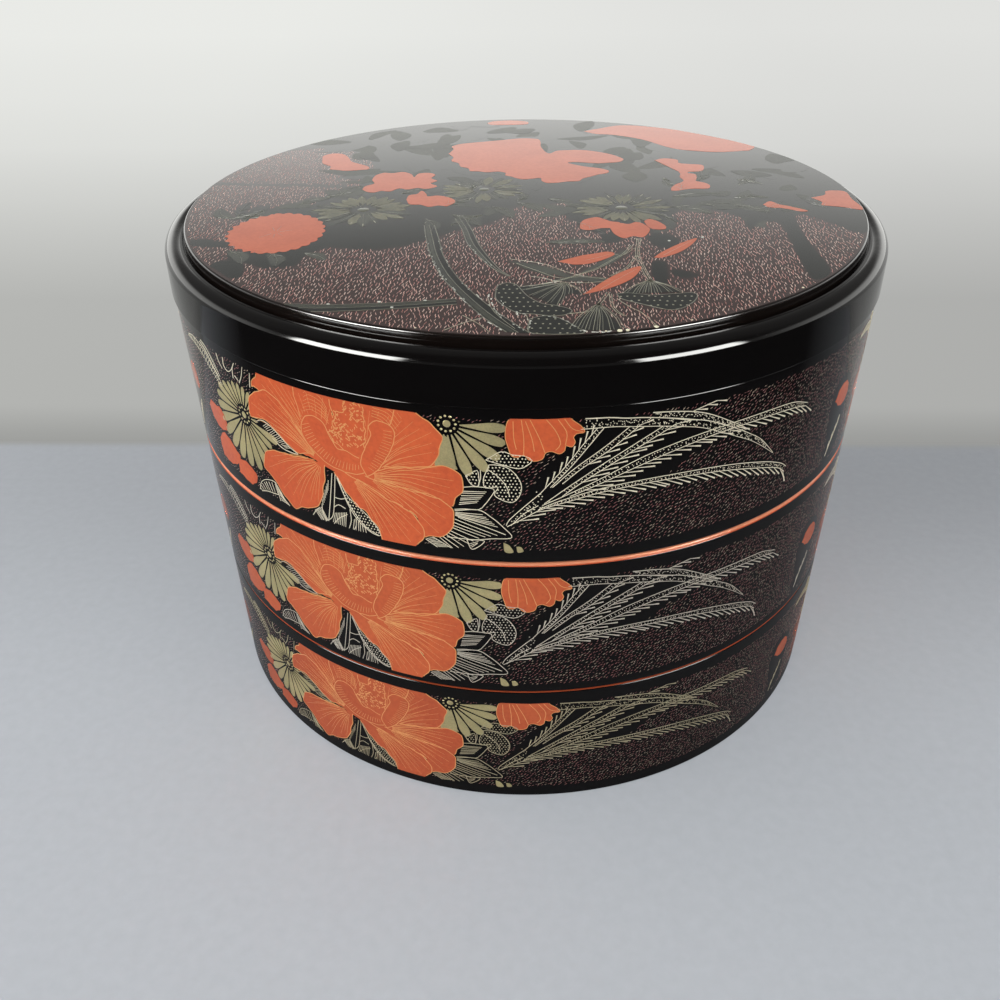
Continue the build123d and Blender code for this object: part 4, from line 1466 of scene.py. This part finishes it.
# The vermilion flowers, from the back of the lid to its front.
lid_flowers = (
    [(23.3, 86.1), (29, 90), (39.7, 95.4), (55.9, 90), (70.8, 78.4), (78.7, 71), (85.4, 64.1), (83, 58),
     (79.8, 56.9), (72, 55.4), (64.1, 56.6), (54.4, 61.2), (45.1, 73.2), (34.8, 80.4), (28, 82)],
    [(-15, 100), (-12, 103), (-5, 104), (1, 102), (1, 98), (-6, 97), (-13, 97)],
    [(-73, 48), (-73.4, 51), (-72, 53.6), (-69.6, 55), (-66.6, 54), (-64, 50), (-61.8, 44), (-58, 40.4),
     (-55, 37.4), (-54.6, 34.4), (-57, 33.4), (-62, 32.4), (-66, 33.6), (-68.2, 34.6), (-68.6, 38),
     (-72, 42)],
    [(-27.7, 54.1), (-26.2, 60), (-27, 64), (-24, 67.6), (-18, 70), (-9.5, 72.8), (-1.6, 75.6), (5, 74.6),
     (6.2, 70), (6.2, 64), (7.6, 57), (9.4, 54), (12, 57.6), (15.9, 58.4), (21, 58.6), (26.2, 56.6),
     (30.4, 53.6), (33.5, 50.1), (35.6, 46), (33.8, 42.6), (30, 41.6), (26.2, 40.9), (22, 41.8),
     (17.8, 42.6), (15.4, 41.6), (18.4, 38.8), (22.6, 36.2), (26.6, 34.4), (29.4, 31.4), (28.4, 28.8),
     (25.4, 27), (22.6, 24.4), (20, 22.4), (18.5, 19.4), (14.8, 19), (10.6, 17.4), (7.6, 17.6), (6, 19.6),
     (5.6, 23), (3, 22.4), (0.2, 21.6), (-2.4, 22.6), (-4, 24.6), (-6.4, 26.4), (-6.4, 29.2), (-9, 31),
     (-12.6, 30.2), (-16, 31.4), (-18.7, 31.6), (-19.6, 35), (-22.4, 37.4), (-23.4, 41.6), (-26, 44.6),
     (-25.6, 49)],
    [(-53.6, 10.4), (-53, 14), (-50.4, 17), (-51.6, 21), (-51.1, 26.4), (-48.6, 29.6), (-45.6, 29.2),
     (-42, 30.6), (-39, 28), (-37.6, 24.4), (-36.4, 28.6), (-33, 29.4), (-30.6, 27.2), (-31.6, 23),
     (-29.4, 20), (-31.4, 17), (-29, 13.6), (-32.3, 10.8), (-35.4, 11.8), (-38.7, 10.2), (-41.4, 11.6),
     (-44.1, 8.2), (-47, 8.8), (-49.5, 6.9), (-52, 8)],
    [(-37.9, -0.6), (-37.3, 4), (-35, 5), (-33.7, 8.6), (-32, 5.4), (-31.2, 2.6), (-28, 3.4), (-24.4, 1.5),
     (-22, -2), (-22.4, -4.6), (-24.4, -7.6), (-27, -6.8), (-30, -8.2), (-33, -6), (-36.4, -5.4)],
    [(46.6, 44.7), (50.2, 47), (54.6, 45.2), (54.8, 41), (58, 39.6), (62.5, 38.4), (62.6, 34), (60.9, 30.6),
     (56.6, 29.8), (55.4, 26.6)],
    [(47.4, 44), (51, 40), (53.8, 33.2), (54.8, 29), (58.6, 27), (58.4, 22), (57.8, 19.1), (60.4, 17),
     (61.7, 14), (60.5, 10.6), (55, 10.4), (49, 8.1), (48.6, 11), (50.5, 15.1), (53.6, 19), (53, 24),
     (53.6, 28), (52.4, 34), (49.6, 40)],
    [(92, 0.4), (96.9, 3.2), (98.3, 7.2), (101.6, 8), (104.6, 6.4), (104.6, -1), (105.4, -11.6),
     (100, -9.4), (97.1, -8.4), (93.6, -7.2), (94.4, -4)],
    [(75.4, -6.6), (78.1, -3.4), (80.6, -6.6), (83.4, -8.6), (87.9, -12.8), (85.6, -13.4), (81, -10.4),
     (76.8, -9.4)],
    [(17, -24.4), (18.6, -21), (22.2, -18.8), (24.4, -20.6), (26.4, -22.8), (29, -24), (27, -28.4),
     (23, -29), (20, -30.6), (17, -29.6)],
    [(25.6, -28), (28.6, -24.4), (31.5, -25.3), (34, -23.4), (36.2, -25.6), (37.4, -30.6), (34.9, -36.8),
     (32, -36), (29.1, -37.8), (26.6, -34)],
    [(36.4, -22.8), (38, -20.6), (40.4, -22.6), (42.4, -27), (41.8, -30), (38.4, -29.8), (37, -27)],
    [(9.4, -56.8), (13.4, -54.1), (16.2, -52.2), (19.8, -50.7), (23, -49.2), (25, -49.8), (25.4, -51.6),
     (23.2, -54.3), (20.4, -56.8), (17.6, -58.6), (14.1, -59.2), (11.5, -58)],
    [(36.2, -53.7), (38.7, -49.7), (42.9, -44.5), (47, -40.3), (50.2, -37.9), (48.8, -41.8), (45.7, -47.1),
     (42.1, -51.2), (38.2, -53.9)],
    [(15.2, -80.6), (18, -76.4), (21.6, -70.8), (25.8, -65.4), (30, -61.4), (32, -60.8), (31.1, -64.5),
     (28.9, -69.3), (25.2, -73.8), (21.7, -76.8), (18.3, -79)],
)
for order, outline in enumerate(lid_flowers):
    lid_red.fill(closed_curve(outline, 0.8)[:-1], lid_red_height + coat_step / 2 * (order % 4))

# The red chrysanthemum at the left: pointed petals on its left side, round ones elsewhere.
flower_middle = Vector((-73.9, -32.4))
flower_wide, flower_deep = 14.8, 18.2
pointed_depth, round_depth = 0.09, 0.075
pointed_left = -0.25  # how far to the left the pointed petals start, as a cosine
petals_round = 26
petal_points = petals_round * 8
rim = []
for k in range(petal_points):
    turn = math.tau * k / petal_points
    wave = abs(math.sin(petals_round / 2 * turn + 0.6))
    lobe = pointed_depth * wave if math.cos(turn) < pointed_left else round_depth * (1 - wave ** 0.7)
    out = Vector((flower_wide * math.cos(turn), flower_deep * math.sin(turn)))
    rim.append(flower_middle + out * (1 - lobe))
lid_red.fill(rim, lid_red_height)
for turn in (0.35, 1.4, 2.0, 3.9, 4.8, 5.6):
    ray = Vector((14 * math.cos(turn), 17.4 * math.sin(turn)))
    ray_end = flower_middle + ray * dice.uniform(0.25, 0.4)
    lid_dim.stroke([flower_middle + ray * 0.1, ray_end], lid_fine, end=0.4)
for line in ([(17, -56), (21, -53.6), (24.6, -50.6)], [(20, -77), (25, -70), (30.6, -62.6)],
             [(39, -52), (43, -47), (48.6, -40)]):
    lid_lines.stroke(curve(line), vein_line, end=0.5)

# Two long reeds sweep from the middle to the front edge, and a straight one lies across the left.
reeds = (
    ([(-30, -26), (-28.6, -37), (-26, -52.2), (-22.2, -67), (-16.8, -80.6), (-10.1, -94.6), (-4, -104)],
     [(-27, -26), (-24.8, -38.1), (-22.5, -52.2), (-18.2, -67), (-13.1, -79.4), (-5.9, -93),
      (1.5, -104.6)]),
    ([(-21, -20), (-18.5, -29.5), (-16.2, -42), (-13, -51.3), (-8.4, -62), (-4, -68)],
     [(-18, -20), (-15.2, -31.7), (-12.8, -43.4), (-9.6, -54.2), (-6.2, -63.4), (-3.4, -68)]),
    ([(-64, -87), (-57.6, -87), (-48.8, -87.4), (-30.6, -85.8), (-17.3, -83.4)],
     [(-60, -91.6), (-54.3, -91.6), (-48.2, -91.6), (-30.3, -89.6), (-16.8, -87)]),
)
for left, right in reeds:
    left, right = curve(left), curve(right)
    lay(lid_dark, left + right[::-1], 1.2)
    middle = [a.lerp(right[round(k * (len(right) - 1) / (len(left) - 1))], 0.5) for k, a in enumerate(left)]
    near_edge = [a.lerp(b, 0.25) for a, b in zip(left, middle)]
    near_middle = [a.lerp(b, 0.8) for a, b in zip(left, middle)]
    lay(lid_olive, near_edge + near_middle[::-1], 1.2)
    for line in (middle, left, right):
        lid_dim.stroke(line, lid_line)


def painted_glints(line, share, width=0.5):
    """Painted glints: silvery highlight spots along a line."""
    line = curve(line, 0.8)
    for here, after in zip(line, line[1:]):
        if dice.random() < share:
            off = Vector((dice.uniform(-0.4, 0.4), dice.uniform(-0.5, 0.5)))
            lid_glints.stroke([here + off, after + off * dice.uniform(0, 1)],
                              width * dice.uniform(0.5, 1.1), end=0.6)


# Painted glints: silvery highlight spots along the reeds' edges, and dots on a few leaves and reeds.
painted_glints([(-28.6, -36), (-26, -52), (-22.2, -67)], 0.4)
painted_glints([(-22.2, -67), (-16.8, -80.6), (-10.1, -94.6), (-5, -103)], 0.55)
painted_glints([(-24.8, -38), (-22.5, -52), (-18.2, -67), (-13.1, -79.4), (-5.9, -93), (0, -103)], 0.3)
painted_glints([(-16.2, -42), (-13, -51.3), (-9, -60)], 0.25, 0.4)
for x, y in ((-49.4, -87), (-36.6, -85.4), (-25, -84.6), (-33, -89), (52, -37), (42, -40)):
    lid_glints.dot(Vector((x, y)), 0.55)

# Round spotted leaves and fans of fine stems fill the front.
spot_gap, spot_size, spot_rows = 1.8, 0.36, 1.6
spotted = (
    [(-7.1, -76.9), (-6.5, -74.1), (-4.4, -72.6), (-2, -73.8), (-0.2, -78.5), (1.4, -82.3), (4.6, -86.5),
     (8.6, -88), (12, -90.8), (10.4, -93.6), (6.5, -94.2), (2.5, -93.2), (-1.4, -92.4), (-4.6, -88.5),
     (-7, -83.4)],
    [(1.4, -96.5), (3.3, -95), (7.2, -94.5), (11, -98.4), (13.5, -102.1), (13.7, -104.8), (2.5, -104.8),
     (1.3, -101.2)],
    [(23.9, -80.2), (27.2, -79.6), (33.2, -81), (39, -80), (43.5, -79.5), (44.4, -81.3), (42.8, -85.4),
     (39.4, -89.5), (36.2, -90.5), (32.4, -88.5), (27.5, -85.4), (24.9, -83.4)],
)
for outline in spotted:
    lay(lid_dark, outline, 0.9)
    lid_dim.stroke(closed_curve(outline), lid_line)
    lid_lines.dotted(vectors(outline), spot_gap, spot_size, spot_rows)
stems = (
    ([(33.4, -38), (31.8, -52), (32.6, -64), (33.6, -72)], (-0.5, 0.1, 0.6)),
    ([(31, -44), (28, -51), (24.8, -55.4), (20.1, -62.1), (15.5, -66.2), (9.4, -71), (1.9, -75)],
     (-0.4, 0.2)),
    ([(31.6, -52), (28.9, -59.7), (26.9, -63.3), (23.1, -67.9)], (-0.3, 0.3)),
    ([(25.4, -50.9), (27.6, -52), (31.6, -46)], (0,)),
    ([(-3.8, -54.9), (5, -58.4), (11.3, -64.4), (16.3, -67.9), (23, -69.6)], (0,)),
    ([(-2, -58.2), (3.6, -63.8), (9.5, -69.1), (15.5, -68.4), (23, -70.4)], (0,)),
    ([(1.9, -67.9), (5.3, -69.1), (9.4, -71.8), (15.3, -72.6), (22.6, -71.4)], (0,)),
    ([(21.9, -79.1), (20.2, -83.6), (18.6, -87.5), (16, -91.5), (11.2, -93)], (-0.4, 0.4)),
    ([(22.3, -80.2), (22.2, -86.5), (23.1, -91.5), (25, -94.5)], (-0.3, 0.3)),
    ([(23.7, -83.4), (26.5, -88.5), (29.3, -92.5), (31.1, -97.4), (32.5, -101.4)], (0,)),
    ([(-9, -83), (-8, -89.5), (-5.6, -95.5), (-2, -102)], (0,)),
    ([(0.6, -93.5), (1.2, -97.4), (1, -103)], (0,)),
    ([(-15, -94), (-11, -99), (-8, -104)], (0,)),
    ([(-19, -103), (-15, -99), (-10, -95.5)], (0,)),
)
for points, shifts in stems:
    for shift in shifts:
        lid_lines.stroke(curve([Vector(p) + Vector((shift, 0)) for p in points]), lid_fine, end=0.7)
fans = (
    ((33.2, -70.5), [(25.6, -79.6), (28, -80), (29.7, -79.6), (31.3, -79.4), (32.9, -79.6), (34.6, -79.4),
                     (37.5, -79), (40.4, -78.8)]),
    ((10.8, -72.6), [(-1.1, -75.3), (-0.2, -77.4), (1.4, -81.2), (3.8, -83.4), (6, -86), (8.4, -87.6),
                     (11.6, -80.2), (15, -80.4)]),
    ((18.8, -86.5), [(11.2, -101.2), (13, -102), (14.7, -102.6), (16.6, -103), (18.1, -103), (20.8, -102.6),
                     (23.4, -101.6)]),
)
for root, tips in fans:
    lay(lid_dark, [root, *tips], 1.2)
    for k, tip in enumerate(tips):
        bow = Vector(root).lerp(Vector(tip), 0.5) + Vector(((k / (len(tips) - 1) - 0.5) * 2, 0))
        beside = [Vector(p) + Vector((aside, 0)) for p, aside in ((root, 0.3), (bow, 0.6), (tip, 0.9))]
        lid_lines.stroke(curve([root, bow, tip]), lid_fine, end=0.7)
        lid_dim.stroke(curve(beside), lid_fine)
# Painted glints along the fine stems and leaf edges at the front.
for line, share in (([(-9, -80), (-7.4, -89.5), (-5.3, -95.5)], 0.6),
                    ([(-2, -92), (0.6, -93.5), (1.4, -97.4), (1.3, -103)], 0.8),
                    ([(5, -94), (8.8, -95.5), (11, -98.4), (12.4, -101.2)], 0.7),
                    ([(8, -72), (11, -72.6), (17, -72)], 0.4), ([(13, -103), (18, -104), (23, -103)], 0.6),
                    ([(-6, -84), (-4, -90), (0, -95), (4, -100)], 0.3)):
    painted_glints(line, share)

lid_pigment = powder("lid_vermilion_pigment", (0.50, 0.125, 0.062), (0.42, 0.10, 0.05),
                     pigment_roughness, 0.0, pigment_grain)
lid_gold_powder = powder("lid_gold_powder", (0.15, 0.14, 0.08), (0.045, 0.047, 0.03), 0.3, 0.2, 1400)
lid_olive_powder = powder("lid_olive_powder", (0.040, 0.043, 0.027), (0.010, 0.012, 0.008), 0.25, 0.1, 900)
lid_coats = (
    ("lid_brown_ground", lid_ground, new_material("lid_brown_lacquer", (0.036, 0.019, 0.017), 0.14),
     "black_lacquer"),
    ("lid_dark_foliage", lid_dark, new_material("lid_dark_lacquer", (0.0075, 0.0085, 0.007), 0.14),
     "black_lacquer"),
    ("lid_olive_leaves", lid_olive, lid_olive_powder, "gold_powder"),
    ("lid_gold_flowers", lid_gold, lid_gold_powder, "gold_powder"),
    ("lid_vermilion_flowers", lid_red, lid_pigment, "vermilion_lacquer"),
    ("lid_dim_lines", lid_dim, new_material("lid_dim_line", (0.085, 0.085, 0.058), 0.3), "gold_powder"),
    ("lid_gold_lines", lid_lines, new_material("lid_pale_line", (0.25, 0.24, 0.17), 0.3), "gold_powder"),
    ("lid_worn_glints", lid_glints, new_material("lid_painted_glint_silver", (0.55, 0.56, 0.50), 0.35),
     "gold_powder"),
)
for name, drawing, paint, slot in lid_coats:
    piece = new_piece(name, drawing.points, drawing.faces)
    piece.data.materials.append(paint)
    smooth(piece)
    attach(piece, "lid")

# Between the flowers the brown ground is filled with wavy strokes that run from back to front.
squiggle_spacing = 0.70 * MM
squiggle_stretch = 2.7  # how much farther apart they lie along their length
squiggle_stations = 4
squiggle_bends = 1.15
squiggle_sway = stroke_sway * 0.9
stroke_section = ((-1, -0.02), (1, -0.02), (0, 0.034))  # sideways, and up from the board
lid_clearance = 0.15 * MM


def wavy_stroke(name, width, wave, length):
    """A thin raised stroke with an S bend, closed at both ends."""
    points, faces = [Vector((0, -length / 2, 0))], []
    for k in range(squiggle_stations):
        share = (k + 0.5) / squiggle_stations - 0.5
        bow = wave * math.sin(math.tau * share * squiggle_bends)
        half = width / 2 * math.cos(math.pi * share) ** 0.5
        points += [Vector((bow + side * half, share * length, lift)) for side, lift in stroke_section]
    points.append(Vector((0, length / 2, 0)))
    last = len(points) - 1
    for k in range(3):
        faces += [(0, 1 + k, 1 + (k + 1) % 3), (last, last - 3 + (k + 1) % 3, last - 3 + k)]
        for j in range(squiggle_stations - 1):
            low, high = 1 + 3 * j, 4 + 3 * j
            faces.append((low + k, high + k, high + (k + 1) % 3, low + (k + 1) % 3))
    return new_piece(name, [p * MM for p in points], faces)


lid_keep_off = new_piece("lid_keep_off", *joined((lid_red, lid_gold, lid_olive, lid_dark)))
field_reach = lid_reach * 0.99 * MM
field_sides = 96
field_rim = []
for k in range(field_sides):
    turn = math.tau * k / field_sides
    field_rim.append((field_reach * math.cos(turn), field_reach * math.sin(turn) / squiggle_stretch,
                      lid_face))
lid_field = new_piece("lid_field", field_rim, [range(field_sides)])
lid_tones = (
    ("lid_rose_strokes", (0.33, 0.12, 0.095), 0.0, 0.32, (0.34, 0.15, 2.6)),
    ("lid_pale_rose_strokes", (0.50, 0.28, 0.23), 0.32, 0.68, (0.37, -0.15, 2.4)),
    ("lid_cream_strokes", (0.50, 0.35, 0.29), 0.68, 1.0, (0.40, 0.10, 1.9)),
)
for name, colour, low_share, high_share, shape in lid_tones:
    squiggle = wavy_stroke(name + "_one", *shape)
    piece = run_tree(strokes, lid_field, name, Keep_Off=lid_keep_off, Spacing=squiggle_spacing,
                     Stretch=squiggle_stretch, Clearance=lid_clearance, Density=stroke_density, Slant=0.0,
                     Sway=squiggle_sway, From_Share=low_share, To_Share=high_share, Seed=lid_seed,
                     Stroke=squiggle, Paint=new_material(name, colour, 0.35))
    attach(piece, "lid")
    bpy.data.objects.remove(squiggle)
for helper in (lid_keep_off, lid_field):
    bpy.data.objects.remove(helper)

# Worn places: pale ground shows in small chips along the board's front edge.
chips = Drawing(lambda point: point, lid_face, 0)
chip_sides = 9
for x, y, wide, deep in ((19.7, -103.4, 0.7, 0.7), (23.0, -103.1, 1.5, 1.7), (24.9, -102.7, 1.0, 1.5),
                         (31.9, -100.8, 1.2, 1.7), (41, -96.8, 0.6, 0.5), (-26, -101.6, 0.6, 0.4),
                         (72.4, -76, 0.7, 0.9)):
    rim = []
    for k in range(chip_sides):
        turn = math.tau * k / chip_sides
        rim.append(Vector((x + wide * dice.uniform(0.38, 0.55) * math.cos(turn),
                           y + deep * dice.uniform(0.38, 0.55) * math.sin(turn))))
    chips.fill(rim, line_coat)
chipped = new_piece("lid_worn_chips", chips.points, chips.faces)
chipped.data.materials.append(new_material("bare_pale_ground", (0.72, 0.68, 0.50), 0.6))
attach(chipped, "lid")
